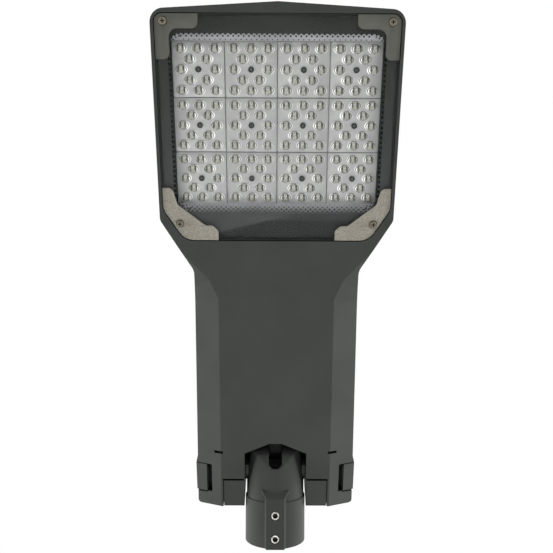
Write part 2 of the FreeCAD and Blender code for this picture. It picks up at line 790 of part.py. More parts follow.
def main_housing():
    """Cast housing: recess and deck for the LEDs, fins, neck and gear tray."""
    low = bevelled_slab(outer_corners(), DECK_EDGE, 0, DECK_TOP)
    tray = slab(tray_corners(), DECK_TOP - DECK_EDGE - MARGIN, TRAY_HEIGHT)
    body = fuse([low, tray] + fins() + hinge_lugs())
    recess = slab(recess_corners(), -MARGIN, LEDGE_Z)
    chamber = slab(chamber_corners(), LEDGE_Z - MARGIN, DECK_Z)
    cavity = tray_cavity()
    opening = flat_slab(opening_corners(), TRAY_HEIGHT - SHELF - MARGIN, TRAY_HEIGHT + MARGIN)
    lead_hole = bar(LEAD_HOLE_R, Vector(0, CHAMBER_REAR - MARGIN, lead_z()),
                    Vector(0, RECESS_REAR + WALL + MARGIN, lead_z()))
    tools = [recess, chamber, cavity, opening, lead_hole]
    tools += slant_tools() + spigot_pocket() + drain_slots()
    tools += [bar(HINGE_PIN_R + PIN_GAP, *hinge_pin_span(x)) for x in (-HINGE_X, HINGE_X)]
    for piece in latch_channel():
        tools += [piece, mirror_x(piece)]
    body = cut(body, tools)
    bosses = [bar(GLASS_BOSS_R, Vector(x, y, GLASS_Z), Vector(x, y, LEDGE_Z + MARGIN))
              for x, y in screw_points(FRONT_SCREW) + screw_points(REAR_SCREW)]
    bosses += [bar(STAND_R, Vector(x, y, WALL - MARGIN), Vector(x, y, WALL + PLATE_STAND),
                   TINY_SIDES) for x, y in gear_screw_points()]
    body = fuse([body] + bosses)
    return cut(body, screw_holes()).removeSplitter()


def lead_z():
    """Height of the lead's way from the LED board to the tray."""
    return (LEDGE_Z + DECK_Z) / 2


def screw_holes():
    """Blind and through holes for every screw and fitting in the housing."""
    holes = []
    for x, y in screw_points(FRONT_SCREW) + screw_points(REAR_SCREW):
        top = BRACKET_FACE_Z + BRACKET_SCREW_LENGTH + MARGIN
        holes.append(bar(BRACKET_SCREW_R + PIN_GAP, Vector(x, y, 0), Vector(x, y, top)))
    for x, y in plate_centres():
        top = FLANGE_Z + LENS_SCREW_LENGTH + MARGIN / 2
        holes.append(bar(LENS_SCREW_R + PIN_GAP, Vector(x, y, FLANGE_Z), Vector(x, y, top),
                         TINY_SIDES))
    for x, y in gear_screw_points():
        top = WALL + PLATE_STAND + MARGIN
        bottom = WALL + PLATE_STAND + GEAR_PLATE - GEAR_SCREW_LENGTH - MARGIN
        holes.append(bar(GEAR_SCREW_R + PIN_GAP, Vector(x, y, bottom), Vector(x, y, top)))
    for x, y in yoke_screw_points():
        holes.append(bar(YOKE_SCREW_R + SEAT_GAP, Vector(x, y, BAY_CEILING - MARGIN),
                         Vector(x, y, TRAY_HEIGHT + MARGIN), TINY_SIDES))
    wall = (Vector(0, POCKET_WALL_FRONT - MARGIN, 0), Vector(0, NOTCH_TIP + MARGIN, 0))
    for x, radius in ((0.0, GROMMET_R), (VENT_X, VENT_R)):
        lift = Vector(x, 0, GROMMET_ABOVE_FLOOR + WALL)
        holes.append(bar(radius, wall[0] + lift, wall[1] + lift))
    return holes


def drain_slots():
    """Two short slots across the bend of the slanted lower edge."""
    y = PIVOT_Y - SLOT_BEFORE_PIVOT
    right = box(FLAT_HALF_REAR - SLOT_WIDTH, FLAT_HALF_REAR - SLOT_WIDTH + SLOT_LENGTH,
                y, y + SLOT_WIDTH, -MARGIN, 2 * WALL + MARGIN)
    return [right, mirror_x(right)]


def cover_shell():
    """Cover with slanted top edges, hollow below."""
    outer = bevelled_box(tray_corners(), COVER_EDGE, COVER_Z, COVER_TOP)
    inside = drawn_in(tray_corners(), COVER_WALL)
    inner = bevelled_box(inside, COVER_EDGE - COVER_WALL / 2, COVER_Z - MARGIN,
                         COVER_TOP - COVER_WALL)
    return outer.cut(inner)


def cover_latch_boss():
    """Solid block in the cover that carries a latch's pin, right side."""
    first, last = latch_span()
    inner = latch_outer_x() - 2 * LATCH_EYE_R - LATCH_BOSS_WALL
    block = box(inner, side_x(LATCH_Y), first - LATCH_BOSS_WALL, last + LATCH_BOSS_WALL,
                COVER_Z, LATCH_PIN_Z + LATCH_EYE_R + LATCH_BOSS_WALL)
    return block.common(slab(tray_corners(), COVER_Z, COVER_TOP - COVER_EDGE))


def cover_latch_room():
    """Cut in the cover's side for a latch's eye, right side."""
    first, last = latch_span()
    inner = latch_outer_x() - 2 * LATCH_EYE_R - SEAT_GAP
    return box(inner, OVER, first - LATCH_SIDE_GAP, last + LATCH_SIDE_GAP,
               COVER_Z - MARGIN, LATCH_PIN_Z + LATCH_EYE_R + CHANNEL_GAP)


def latch_pin_span(y_gap):
    """Ends of the right latch pin, or of its hole with a gap at each end."""
    first, last = latch_span()
    x = latch_outer_x() - LATCH_EYE_R
    reach = LATCH_PIN_IN_BOSS + y_gap
    return Vector(x, first - reach, LATCH_PIN_Z), Vector(x, last + reach, LATCH_PIN_Z)


def latch_pin():
    """Pin of the right latch."""
    return bar(LATCH_PIN_R, *latch_pin_span(0.0))


def gear_cover():
    """Lid over the gear tray, with hinge ears, seal rib and latch bosses."""
    root = [
        (HINGE_Y, HINGE_Z + HINGE_EYE_R),
        (TRAY_FRONT + COVER_WALL, COVER_Z + HINGE_EAR_ROOT),
        (TRAY_FRONT + COVER_WALL, COVER_Z),
        (HINGE_Y + HINGE_EYE_R, COVER_Z),
        (HINGE_Y + HINGE_EYE_R / 2, HINGE_Z),
    ]
    ears = [eye_plate(root, x - HINGE_EAR / 2, x + HINGE_EAR / 2) for x in (-HINGE_X, HINGE_X)]
    rib_z = TRAY_HEIGHT + SEAL_HEIGHT
    rib_grow = SEAL_OFFSET + (SEAL_WIDTH - SEAL_RIB) / 2
    rib = flat_slab(opening_corners(rib_grow + SEAL_RIB), rib_z, COVER_TOP - COVER_WALL / 2).cut(
        flat_slab(opening_corners(rib_grow), rib_z - MARGIN, COVER_TOP))
    boss = cover_latch_boss()
    body = fuse([cover_shell(), rib, boss, mirror_x(boss)] + ears)
    room = cover_latch_room()
    pin = bar(LATCH_PIN_R + PIN_GAP, *latch_pin_span(SEAT_GAP))
    tools = [room, mirror_x(room), pin, mirror_x(pin)]
    tools += [rod(HINGE_PIN_R + RUN_GAP, *hinge_pin_span(x)) for x in (-HINGE_X, HINGE_X)]
    return cut(body, tools).removeSplitter()


def cover_gasket():
    """Rubber ring round the tray's opening, under the cover's rib."""
    grow = SEAL_OFFSET
    top = TRAY_HEIGHT + SEAL_HEIGHT
    ring = flat_slab(opening_corners(grow + SEAL_WIDTH), TRAY_HEIGHT, top)
    return ring.cut(flat_slab(opening_corners(grow), TRAY_HEIGHT - MARGIN, top + MARGIN))


def latch():
    """Side latch, right side: an eye on top and a toe turned in under the slanted edge."""
    first, last = latch_span()
    outer = latch_outer_x()
    inner = outer - LATCH_THICKNESS
    flat = FLAT_HALF_FRONT + (FLAT_HALF_REAR - FLAT_HALF_FRONT) * (
        (LATCH_Y - TRAY_FRONT) / (BODY_REAR - TRAY_FRONT))
    toe = outer - LATCH_TOE
    toe_z = (toe - flat) * SLANT_RISE - LATCH_TOE_PROUD
    heel_z = (outer - flat) * SLANT_RISE - LATCH_TOE_PROUD
    profile = [
        (outer, LATCH_PIN_Z),
        (outer, heel_z),
        (toe, toe_z),
        (toe, toe_z + LATCH_THICKNESS),
        (inner, heel_z + LATCH_THICKNESS),
        (inner, LATCH_PIN_Z),
    ]
    axis_x = outer - LATCH_EYE_R
    eye = bar(LATCH_EYE_R, Vector(axis_x, first, LATCH_PIN_Z), Vector(axis_x, last, LATCH_PIN_Z))
    body = eye.fuse(cross_plate(profile, first, last))
    return body.cut(rod(LATCH_PIN_R + RUN_GAP, *latch_pin_span(0.0))).removeSplitter()


def glass():
    """Toughened flat pane with cut corners."""
    return slab(glass_corners(), GLASS_Z, BORDER_Z)


def window_corners():
    """Outline of the clear window inside the printed border."""
    half = GLASS_HALF - BORDER_SIDE
    rear = GLASS_REAR - BORDER_REAR
    cut_y = WINDOW_CORNER * RECESS_CUT_X / RECESS_CUT_Y
    return both_sides([
        (half, GLASS_NOSE + BORDER_NOSE, WINDOW_CORNER),
        (half, rear - cut_y, WINDOW_CORNER / 2),
        (half - WINDOW_CORNER, rear, WINDOW_CORNER / 2),
    ])


def glass_border():
    """Dark enamel ring printed on the inner face of the glass."""
    ring = slab(glass_corners(), BORDER_Z, GASKET_Z)
    return ring.cut(slab(window_corners(), BORDER_Z - MARGIN, GASKET_Z + MARGIN))


def glass_gasket():
    """Angle-section rubber seal behind the glass and round its edge."""
    outside = glass_corners(GASKET_LIP)
    ring = slab(outside, GLASS_Z, LEDGE_Z)
    pane = slab(glass_corners(), GLASS_Z - MARGIN, GASKET_Z)
    return cut(ring, [pane, slab(chamber_corners(), GASKET_Z - MARGIN, LEDGE_Z + MARGIN)])


def bracket_edge():
    """Outline of the recess drawn in by the gap round the brackets."""
    return inset_slab(recess_corners(), BRACKET_EDGE_GAP, BRACKET_FACE_Z, GLASS_Z)


def front_bracket():
    """L-shaped corner plate at the nose, right side."""
    far_x = RECESS_HALF - BRACKET_EDGE_GAP - FRONT_ARM
    far_y = RECESS_NOSE + BRACKET_EDGE_GAP + FRONT_ARM
    in_x = RECESS_HALF - BRACKET_EDGE_GAP - FRONT_ARM_WIDTH
    in_y = RECESS_NOSE + BRACKET_EDGE_GAP + FRONT_ARM_WIDTH
    plate = slab([
        (far_x, RECESS_NOSE, 0.0),
        (RECESS_HALF, RECESS_NOSE, 0.0),
        (RECESS_HALF, far_y, 0.0),
        (in_x, far_y, FRONT_END_R),
        (in_x, in_y, FRONT_INNER_R),
        (far_x, in_y, FRONT_END_R),
    ], BRACKET_FACE_Z, GLASS_Z)
    return drilled_bracket(plate, FRONT_SCREW)


def rear_bracket():
    """Corner plate with a web across the slanted corner of the recess, right side."""
    side_y = RECESS_REAR - RECESS_CUT_Y - REAR_ARM_SIDE
    end_x = RECESS_HALF - RECESS_CUT_X - REAR_ARM_END
    web_x = RECESS_HALF - REAR_WEB_SIDE
    web_y = RECESS_REAR - REAR_WEB_DEPTH
    plate = slab([
        (RECESS_HALF, side_y, 0.0),
        (RECESS_HALF, RECESS_REAR, 0.0),
        (end_x, RECESS_REAR, 0.0),
        (end_x, RECESS_REAR - REAR_ARM_WIDTH_END, REAR_END_R),
        (end_x + REAR_END_R * 2, web_y, REAR_END_R),
        (RECESS_HALF - RECESS_CUT_X - REAR_WEB_END, web_y, REAR_WEB_R),
        (web_x, side_y + REAR_ARM_SIDE - REAR_WEB_R, REAR_WEB_R),
        (RECESS_HALF - REAR_ARM_WIDTH_SIDE - REAR_END_R, side_y + REAR_END_R, REAR_END_R),
        (RECESS_HALF - REAR_ARM_WIDTH_SIDE, side_y, REAR_END_R),
    ], BRACKET_FACE_Z, GLASS_Z)
    return drilled_bracket(plate, REAR_SCREW)


def drilled_bracket(plate, screw):
    """Trims a bracket to the recess and drills it."""
    x, y = screw
    hole = bar(BRACKET_SCREW_R + RUN_GAP, Vector(x, y, 0), Vector(x, y, GLASS_Z + MARGIN))
    return plate.common(bracket_edge()).cut(hole)


def headed_screw(x, y, seat_z, radius, length, head_radius, head, sides=SMALL_SIDES):
    """Upright screw; a positive head stands above its seat, a negative one hangs below it."""
    seat = Vector(x, y, seat_z)
    tip = seat - Vector(0, 0, math.copysign(length, head))
    cap = bar(head_radius, seat, seat + Vector(0, 0, head), sides)
    return bar(radius, tip, seat, sides).fuse(cap).removeSplitter()


def bracket_screws():
    """Four screws through the corner brackets."""
    return [headed_screw(x, y, BRACKET_FACE_Z, BRACKET_SCREW_R, BRACKET_SCREW_LENGTH,
                         BRACKET_SCREW_HEAD_R, -BRACKET_SCREW_HEAD)
            for x, y in screw_points(FRONT_SCREW) + screw_points(REAR_SCREW)]


def lens_screws():
    """One screw through the middle of each lens plate."""
    return [headed_screw(x, y, FLANGE_Z, LENS_SCREW_R, LENS_SCREW_LENGTH, LENS_SCREW_HEAD_R,
                         -LENS_SCREW_HEAD, TINY_SIDES) for x, y in plate_centres()]


def lens(x, y):
    """One lens below its plate: a stretched hexagon drawn down to a short ridge."""
    half = LENS_LENGTH / 2
    shoulder = half * LENS_SHOULDER
    side = LENS_WIDTH / 2
    ring = [Vector(x + u, y + v, FLANGE_Z) for u, v in (
        (half, 0), (shoulder, side), (-shoulder, side), (-half, 0), (-shoulder, -side), (shoulder, -side))]
    near, far = [Vector(x + turn * half * LENS_CROWN, y, FLANGE_Z - LENS_HEIGHT) for turn in (1, -1)]
    faces = [ring, [ring[1], ring[2], far, near], [ring[4], ring[5], near, far],
             [ring[0], ring[1], near], [ring[5], ring[0], near],
             [ring[2], ring[3], far], [ring[3], ring[4], far]]
    return solid_of(faces)


def lens_plate(x, y):
    """Moulded plate of twelve lenses with a screw hole in its middle."""
    half_x = (PLATE_PITCH_X - PLATE_SEAM) / 2
    half_y = (PLATE_PITCH_Y - PLATE_SEAM) / 2
    corners = [(x + sx * half_x, y + sy * half_y, PLATE_CORNER)
               for sx, sy in ((-1, -1), (1, -1), (1, 1), (-1, 1))]
    plate = fuse([flat_slab(corners, FLANGE_Z, BOARD_Z)] + [lens(x + dx, y + dy) for dx, dy in lens_offsets()])
    rim_x = half_x - PLATE_BACK_RIM
    rim_y = half_y - PLATE_BACK_RIM
    pocket = box(x - rim_x, x + rim_x, y - rim_y, y + rim_y,
                 BOARD_Z - PLATE_BACK_POCKET, BOARD_Z + MARGIN)
    pillar = box(x - LENS_SCREW_HEAD_R, x + LENS_SCREW_HEAD_R, y - LENS_SCREW_HEAD_R,
                 y + LENS_SCREW_HEAD_R, FLANGE_Z, BOARD_Z + MARGIN)
    hole = bar(LENS_SCREW_R + RUN_GAP, Vector(x, y, FLANGE_Z - MARGIN),
               Vector(x, y, BOARD_Z + MARGIN), TINY_SIDES)
    return cut(plate, [pocket.cut(pillar), hole])


def led_board():
    """Aluminium board that all the LED chips are soldered to."""
    board = slab(board_corners(), BOARD_Z, DECK_Z)
    holes = [bar(LENS_SCREW_R + RUN_GAP, Vector(x, y, BOARD_Z - MARGIN),
                 Vector(x, y, DECK_Z + MARGIN), TINY_SIDES) for x, y in plate_centres()]
    return cut(board, holes)


def led_chips():
    """One chip under each lens."""
    half = CHIP_SIDE / 2
    return [box(x + dx - half, x + dx + half, y + dy - half, y + dy + half,
                BOARD_Z - CHIP_HEIGHT, BOARD_Z)
            for x, y in plate_centres() for dx, dy in lens_offsets()]


def knuckle_form():
    """Round-ended knuckle about the pivot, its front corners cut off in plan."""
    length = MOUTH_REACH - SLEEVE_LENGTH
    turned = rod(KNUCKLE_R, Vector(-KNUCKLE_R, 0, 0), Vector(KNUCKLE_R, 0, 0))
    behind = box(-KNUCKLE_R, KNUCKLE_R, 0, length, -KNUCKLE_R, KNUCKLE_R)
    tube = rod(KNUCKLE_R, Vector(0, -KNUCKLE_R, 0), Vector(0, length, 0))
    beside = KNUCKLE_R - KNUCKLE_CORNER
    plan = slab(both_sides([(beside, -KNUCKLE_R, 0.0), (KNUCKLE_R, -beside, 0.0),
                            (KNUCKLE_R, length, 0.0)]), -KNUCKLE_R, KNUCKLE_R)
    return tube.common(turned.fuse(behind)).common(plan)


def rib_ring(y, grow, lift):
    """Section of the flat pad under the sleeve at one place along it."""
    low = -SLEEVE_R - RIB_PROUD + lift
    high = -SLEEVE_R + RIB_SIDE_SLOPE + lift
    half = RIB_WIDTH / 2 + grow
    wide = half + RIB_SIDE_SLOPE
    return [Vector(-half, y, low), Vector(half, y, low), Vector(wide, y, high), Vector(-wide, y, high)]


def spigot_rib():
    """Flat pad along the underside that the set screws pass through, flared at its front end."""
    start = MOUTH_REACH - SLEEVE_LENGTH - RIB_OVERRUN
    even = frustum(rib_ring(start, 0.0, 0.0), rib_ring(MOUTH_REACH, 0.0, 0.0))
    flare = frustum(rib_ring(start, 0.0, 0.0),
                    rib_ring(start - RIB_FLARE_LENGTH, RIB_FLARE, RIB_PROUD + RIB_SIDE_SLOPE))
    return [even, flare]


def set_screw_points():
    """Where the set screws stand along the spigot's axis."""
    first = MOUTH_REACH - SET_SCREW_FIRST
    return [first, first - SET_SCREW_PITCH]


def spigot():
    """Cast knuckle and pole sleeve in one piece, tilted to its place."""
    sleeve_start = MOUTH_REACH - SLEEVE_LENGTH
    sleeve = rod(SLEEVE_R, Vector(0, sleeve_start, 0), Vector(0, MOUTH_REACH, 0))
    outside = fuse([knuckle_form(), sleeve] + spigot_rib())
    hollow_r = KNUCKLE_R - KNUCKLE_WALL
    socket_end = MOUTH_REACH - SOCKET_DEPTH
    hollow = bar(hollow_r, Vector(0, -HOLLOW_REACH, 0), Vector(0, socket_end + MARGIN, 0))
    socket = rod(SOCKET_R, Vector(0, socket_end, 0), Vector(0, MOUTH_REACH + MARGIN, 0))
    half = CABLE_SLOT / 2
    slot = flat_slab([(-half, -OVER, 0.0), (half, -OVER, 0.0), (half, -CABLE_SLOT_END, half / 2),
                      (-half, -CABLE_SLOT_END, half / 2)], -OVER, CABLE_SLOT_RISE)
    shell = cut(outside, [hollow, socket, slot])
    boss_end = CHEEK_GAP - RUN_GAP
    tube = bar(PIVOT_TUBE_R, Vector(-hollow_r, 0, 0), Vector(hollow_r, 0, 0))
    bosses = [bar(PIVOT_BOSS_R, Vector(side * (hollow_r - MARGIN), 0, 0),
                  Vector(side * boss_end, 0, 0)) for side in (-1, 1)]
    body = fuse([shell, tube] + bosses)
    bolt_hole = rod(PIVOT_BOLT_R + RUN_GAP, Vector(-OVER, 0, 0), Vector(OVER, 0, 0))
    threads = [bar(SET_SCREW_R + PIN_GAP, Vector(0, y, -SLEEVE_R - 2 * RIB_PROUD), Vector(0, y, 0))
               for y in set_screw_points()]
    body = cut(body, [bolt_hole] + threads).removeSplitter()
    return on_spigot(body)


def on_spigot(shape):
    """Turns a piece drawn along the spigot's axis to its place in the housing."""
    return place(shape, -TILT_REST, Vector(0, PIVOT_Y, PIVOT_Z))


def set_screws():
    """Two hexagon socket screws that grip the pole."""
    outer = -SLEEVE_R - RIB_PROUD
    tip = -SOCKET_R - SEAT_GAP
    screws = []
    for y in set_screw_points():
        body = bar(SET_SCREW_R, Vector(0, y, outer), Vector(0, y, tip))
        key = bar(SET_SCREW_SOCKET_R, Vector(0, y, outer - MARGIN),
                  Vector(0, y, outer + SET_SCREW_SOCKET), TINY_SIDES)
        screws.append(on_spigot(body.cut(key)))
    return screws


def spigot_yoke():
    """Casting with two cheeks and a bridge that carries the pivot bolt."""
    front = BAY_FRONT + YOKE_FRONT_GAP
    rear = BODY_REAR - YOKE_REAR_SINK
    outer = CHEEK_GAP + CHEEK
    floor = WALL + YOKE_FLOOR_GAP
    blocks = [box(-outer, outer, front, rear, BAY_CEILING - YOKE_BRIDGE, BAY_CEILING)]
    for side in (-1, 1):
        x0, x1 = sorted((side * CHEEK_GAP, side * outer))
        blocks.append(box(x0, x1, front, rear, floor, BAY_CEILING))
        blocks.append(box(x0, x1, BAY_FLOOR_FRONT + YOKE_FLOOR_GAP, rear, YOKE_FACE_SINK, floor))
    tools = [bar(PIVOT_BOLT_R + RUN_GAP, Vector(-OVER, PIVOT_Y, PIVOT_Z),
                 Vector(OVER, PIVOT_Y, PIVOT_Z))]
    for side in (-1, 1):
        start = Vector(side * (outer - PIVOT_SINK), PIVOT_Y, PIVOT_Z)
        tools.append(bar(PIVOT_SINK_R, start, Vector(side * OVER, PIVOT_Y, PIVOT_Z)))
    for x, y in yoke_screw_points():
        tools.append(bar(YOKE_SCREW_R + PIN_GAP, Vector(x, y, yoke_screw_tip() - MARGIN),
                         Vector(x, y, BAY_CEILING + MARGIN), TINY_SIDES))
    return cut(fuse(blocks), tools)


def yoke_screw_tip():
    """Lowest point of the yoke's screws."""
    return TRAY_HEIGHT - YOKE_SCREW_LENGTH


def yoke_screws():
    """Four cap screws from the top of the housing into the yoke's cheeks."""
    screws = []
    for x, y in yoke_screw_points():
        screw = headed_screw(x, y, TRAY_HEIGHT, YOKE_SCREW_R, YOKE_SCREW_LENGTH,
                             YOKE_SCREW_HEAD_R, YOKE_SCREW_HEAD, TINY_SIDES)
        key = bar(YOKE_SCREW_R, Vector(x, y, TRAY_HEIGHT + YOKE_SCREW_HEAD / 2),
                  Vector(x, y, TRAY_HEIGHT + YOKE_SCREW_HEAD + MARGIN), TINY_SIDES)
        screws.append(screw.cut(key))
    return screws


def pivot_seat():
    """X of the sunk faces that bolt head and nut pull against."""
    return CHEEK_GAP + CHEEK - PIVOT_SINK


def pivot_bolt():
    """Bolt through yoke and knuckle, its head sunk in the left cheek."""
    head_x = -pivot_seat() - PIVOT_WASHER
    end_x = pivot_seat() + PIVOT_WASHER + PIVOT_HEAD
    shank = bar(PIVOT_BOLT_R, Vector(head_x, PIVOT_Y, PIVOT_Z), Vector(end_x, PIVOT_Y, PIVOT_Z))
    head = bar(PIVOT_HEAD_R, Vector(head_x - PIVOT_HEAD, PIVOT_Y, PIVOT_Z),
               Vector(head_x, PIVOT_Y, PIVOT_Z), TINY_SIDES)
    return shank.fuse(head).removeSplitter()


def pivot_nut():
    """Nut sunk in the right cheek."""
    start = Vector(pivot_seat() + PIVOT_WASHER, PIVOT_Y, PIVOT_Z)
    nut = bar(PIVOT_HEAD_R, start, start + Vector(PIVOT_HEAD, 0, 0), TINY_SIDES)
    return nut.cut(bar(PIVOT_BOLT_R + PIN_GAP, start - Vector(MARGIN, 0, 0),
                       start + Vector(2 * PIVOT_HEAD, 0, 0)))


def pivot_washers():
    """Washers under bolt head and nut."""
    washers = []
    for side in (-1, 1):
        start = Vector(side * pivot_seat(), PIVOT_Y, PIVOT_Z)
        end = start + Vector(side * PIVOT_WASHER, 0, 0)
        step = Vector(side * MARGIN, 0, 0)
        washers.append(bar(PIVOT_WASHER_R, start, end).cut(
            bar(PIVOT_BOLT_R + RUN_GAP, start - step, end + step)))
    return washers


def hinge_pin(x):
    """Pin of one cover hinge."""
    return bar(HINGE_PIN_R, *hinge_pin_span(x))


def gear_plate():
    """Sheet that carries the electrical gear."""
    half, first, last = gear_plate_span()
    z = WALL + PLATE_STAND
    sheet = box(-half, half, first, last, z, z + GEAR_PLATE)
    holes = [bar(GEAR_SCREW_R + RUN_GAP, Vector(x, y, z - MARGIN), Vector(x, y, z + GEAR_PLATE + MARGIN))
             for x, y in gear_screw_points()]
    return cut(sheet, holes + clamp_screw_holes())


def gear_screws():
    """Four screws that hold the gear plate to its stands."""
    z = WALL + PLATE_STAND + GEAR_PLATE
    return [headed_screw(x, y, z, GEAR_SCREW_R, GEAR_SCREW_LENGTH, GEAR_SCREW_HEAD_R,
                         GEAR_SCREW_HEAD) for x, y in gear_screw_points()]


def gear_floor():
    """Height of the gear plate's upper face."""
    return WALL + PLATE_STAND + GEAR_PLATE


def led_driver():
    """Driver case with slanted long edges and a foot at each end."""
    z = gear_floor()
    y0, y1 = driver_span()
    x0 = DRIVER_X - DRIVER_WIDTH / 2
    x1 = DRIVER_X + DRIVER_WIDTH / 2
    section = [(x0, z), (x1, z), (x1, z + DRIVER_HEIGHT - DRIVER_EDGE),
               (x1 - DRIVER_EDGE, z + DRIVER_HEIGHT), (x0 + DRIVER_EDGE, z + DRIVER_HEIGHT),
               (x0, z + DRIVER_HEIGHT - DRIVER_EDGE)]
    case = cross_plate(section, y0 + DRIVER_FOOT, y1 - DRIVER_FOOT)
    foot = box(x0 + DRIVER_EDGE, x1 - DRIVER_EDGE, y0, y1, z, z + DRIVER_FOOT_HEIGHT)
    return case.fuse(foot).removeSplitter()


def driver_span():
    """First and last Y of the driver."""
    half, first, last = gear_plate_span()
    middle = (first + last) / 2
    return middle - DRIVER_LENGTH / 2, middle + DRIVER_LENGTH / 2


def gear_column():
    """Places along Y of surge protector, terminal block and cable clamp."""
    half, first, last = gear_plate_span()
    clamp = last - GEAR_SCREW_INSET * 2 - CLAMP_WIDTH
    terminal = clamp - GEAR_ROW_GAP - TERMINAL_DEPTH
    surge = terminal - GEAR_ROW_GAP - SURGE_LENGTH
    return surge, terminal, clamp


def surge_protector():
    """Potted surge protector block."""
    y0 = gear_column()[0]
    z = gear_floor()
    x0 = GEAR_COLUMN_X - SURGE_WIDTH / 2
    x1 = GEAR_COLUMN_X + SURGE_WIDTH / 2
    block = box(x0, x1, y0, y0 + SURGE_LENGTH, z, z + SURGE_HEIGHT)
    return block.makeChamfer(SURGE_EDGE, top_edges(block, z + SURGE_HEIGHT))


def terminal_ways():
    """Middle of each way of the terminal block."""
    return [GEAR_COLUMN_X + (i - (TERMINAL_WAYS - 1) / 2) * TERMINAL_PITCH
            for i in range(TERMINAL_WAYS)]


def terminal_block():
    """Stepped terminal block with a screw pit and a wire way for each pole."""
    y0 = gear_column()[1]
    y1 = y0 + TERMINAL_DEPTH
    z = gear_floor()
    low = z + TERMINAL_HEIGHT - TERMINAL_STEP
    half = TERMINAL_WAYS * TERMINAL_PITCH / 2
    profile = [(y0, z), (y1, z), (y1, low), (y1 - TERMINAL_STEP, z + TERMINAL_HEIGHT),
               (y0 + TERMINAL_STEP, z + TERMINAL_HEIGHT), (y0, low)]
    body = side_plate(profile, GEAR_COLUMN_X - half, GEAR_COLUMN_X + half)
    middle = (y0 + y1) / 2
    pits = [bar(TERMINAL_SCREW_R + SEAT_GAP, Vector(x, middle, low + MARGIN),
                Vector(x, middle, low + TERMINAL_STEP + MARGIN)) for x in terminal_ways()]
    mouths = [box(x - TERMINAL_SCREW_R, x + TERMINAL_SCREW_R, y1 - TERMINAL_STEP, y1 + MARGIN,
                  z + TERMINAL_SCREW_R, z + 3 * TERMINAL_SCREW_R) for x in terminal_ways()]
    return cut(body, pits + mouths)


def terminal_screws():
    """Screw head in each pit of the terminal block."""
    y0 = gear_column()[1]
    middle = y0 + TERMINAL_DEPTH / 2
    seat = gear_floor() + TERMINAL_HEIGHT - TERMINAL_STEP + MARGIN
    return [bar(TERMINAL_SCREW_R, Vector(x, middle, seat), Vector(x, middle, seat + TERMINAL_SCREW))
            for x in terminal_ways()]


def cable_clamp():
    """Saddle that grips the supply cable, with its way left open."""
    y0 = gear_column()[2]
    z = gear_floor()
    half = CLAMP_LENGTH / 2
    foot = CLAMP_HEIGHT - CLAMP_CABLE_R
    block = box(GEAR_COLUMN_X - half, GEAR_COLUMN_X + half, y0, y0 + CLAMP_WIDTH, z, z + CLAMP_HEIGHT)
    step = CLAMP_CABLE_R + foot
    shoulders = [box(GEAR_COLUMN_X + side * step if side > 0 else GEAR_COLUMN_X - OVER,
                     GEAR_COLUMN_X + OVER if side > 0 else GEAR_COLUMN_X - step,
                     y0 - MARGIN, y0 + CLAMP_WIDTH + MARGIN, z + foot, z + OVER)
                 for side in (-1, 1)]
    way_z = z + CLAMP_CABLE_R - foot / 2
    way = [bar(CLAMP_CABLE_R, Vector(GEAR_COLUMN_X, y0 - MARGIN, way_z),
               Vector(GEAR_COLUMN_X, y0 + CLAMP_WIDTH + MARGIN, way_z))]
    return cut(block, shoulders + way + clamp_screw_holes())


def clamp_screw_points():
    """Places of the screws through the clamp's feet."""
    y = gear_column()[2] + CLAMP_WIDTH / 2
    x = CLAMP_LENGTH / 2 - GEAR_SCREW_HEAD_R
    return [(GEAR_COLUMN_X - x, y), (GEAR_COLUMN_X + x, y)]


def clamp_screw_holes():
    """Tools for the same screws in the clamp's feet and the gear plate."""
    z = gear_floor()
    return [bar(GEAR_SCREW_R + RUN_GAP, Vector(x, y, z - GEAR_PLATE - MARGIN),
                Vector(x, y, z + CLAMP_HEIGHT)) for x, y in clamp_screw_points()]


def clamp_screws():
    """Two screws through the clamp's feet into the gear plate."""
    foot = CLAMP_HEIGHT - CLAMP_CABLE_R
    return [headed_screw(x, y, gear_floor() + foot, GEAR_SCREW_R, foot + GEAR_PLATE,
                         GEAR_SCREW_HEAD_R, GEAR_SCREW_HEAD) for x, y in clamp_screw_points()]


def wall_grommet(radius, flange_radius, flange, y0, y1, x, z, bore):
    """Rubber grommet through a wall, flanged on both faces."""
    waist = bar(radius - PIN_GAP, Vector(x, y0 - flange, z), Vector(x, y1 + flange, z))
    rims = [bar(flange_radius, Vector(x, y0 - flange, z), Vector(x, y0, z)),
            bar(flange_radius, Vector(x, y1, z), Vector(x, y1 + flange, z))]
    way = bar(bore, Vector(x, y0 - OVER, z), Vector(x, y1 + OVER, z))
    return fuse([waist] + rims).cut(way)


def cable_grommet():
    """Rubber grommet where the supply cable enters the tray."""
    return wall_grommet(GROMMET_R, GROMMET_FLANGE_R, GROMMET_FLANGE, POCKET_WALL_FRONT, NOTCH_TIP,
                     0.0, GROMMET_ABOVE_FLOOR + WALL, GROMMET_CABLE_R)


def breather_vent():
    """Screwed vent with a cap on the pocket's side."""
    z = GROMMET_ABOVE_FLOOR + WALL
    stem = bar(VENT_R - PIN_GAP, Vector(VENT_X, POCKET_WALL_FRONT - GROMMET_FLANGE, z),
               Vector(VENT_X, NOTCH_TIP, z))
    cap = bar(VENT_CAP_R, Vector(VENT_X, NOTCH_TIP, z), Vector(VENT_X, NOTCH_TIP + VENT_CAP, z))
    return stem.fuse(cap)


def lead_grommet():
    """Rubber grommet where the LED lead passes from the chamber to the neck."""
    return wall_grommet(LEAD_HOLE_R, LEAD_GROMMET_R, LEAD_GROMMET_FLANGE, lead_wall()[0], lead_wall()[1],
                     0.0, lead_z(), LEAD_R)


def lead_wall():
    """Near and far face of the wall between LED chamber and neck."""
    return CHAMBER_REAR, RECESS_REAR + WALL


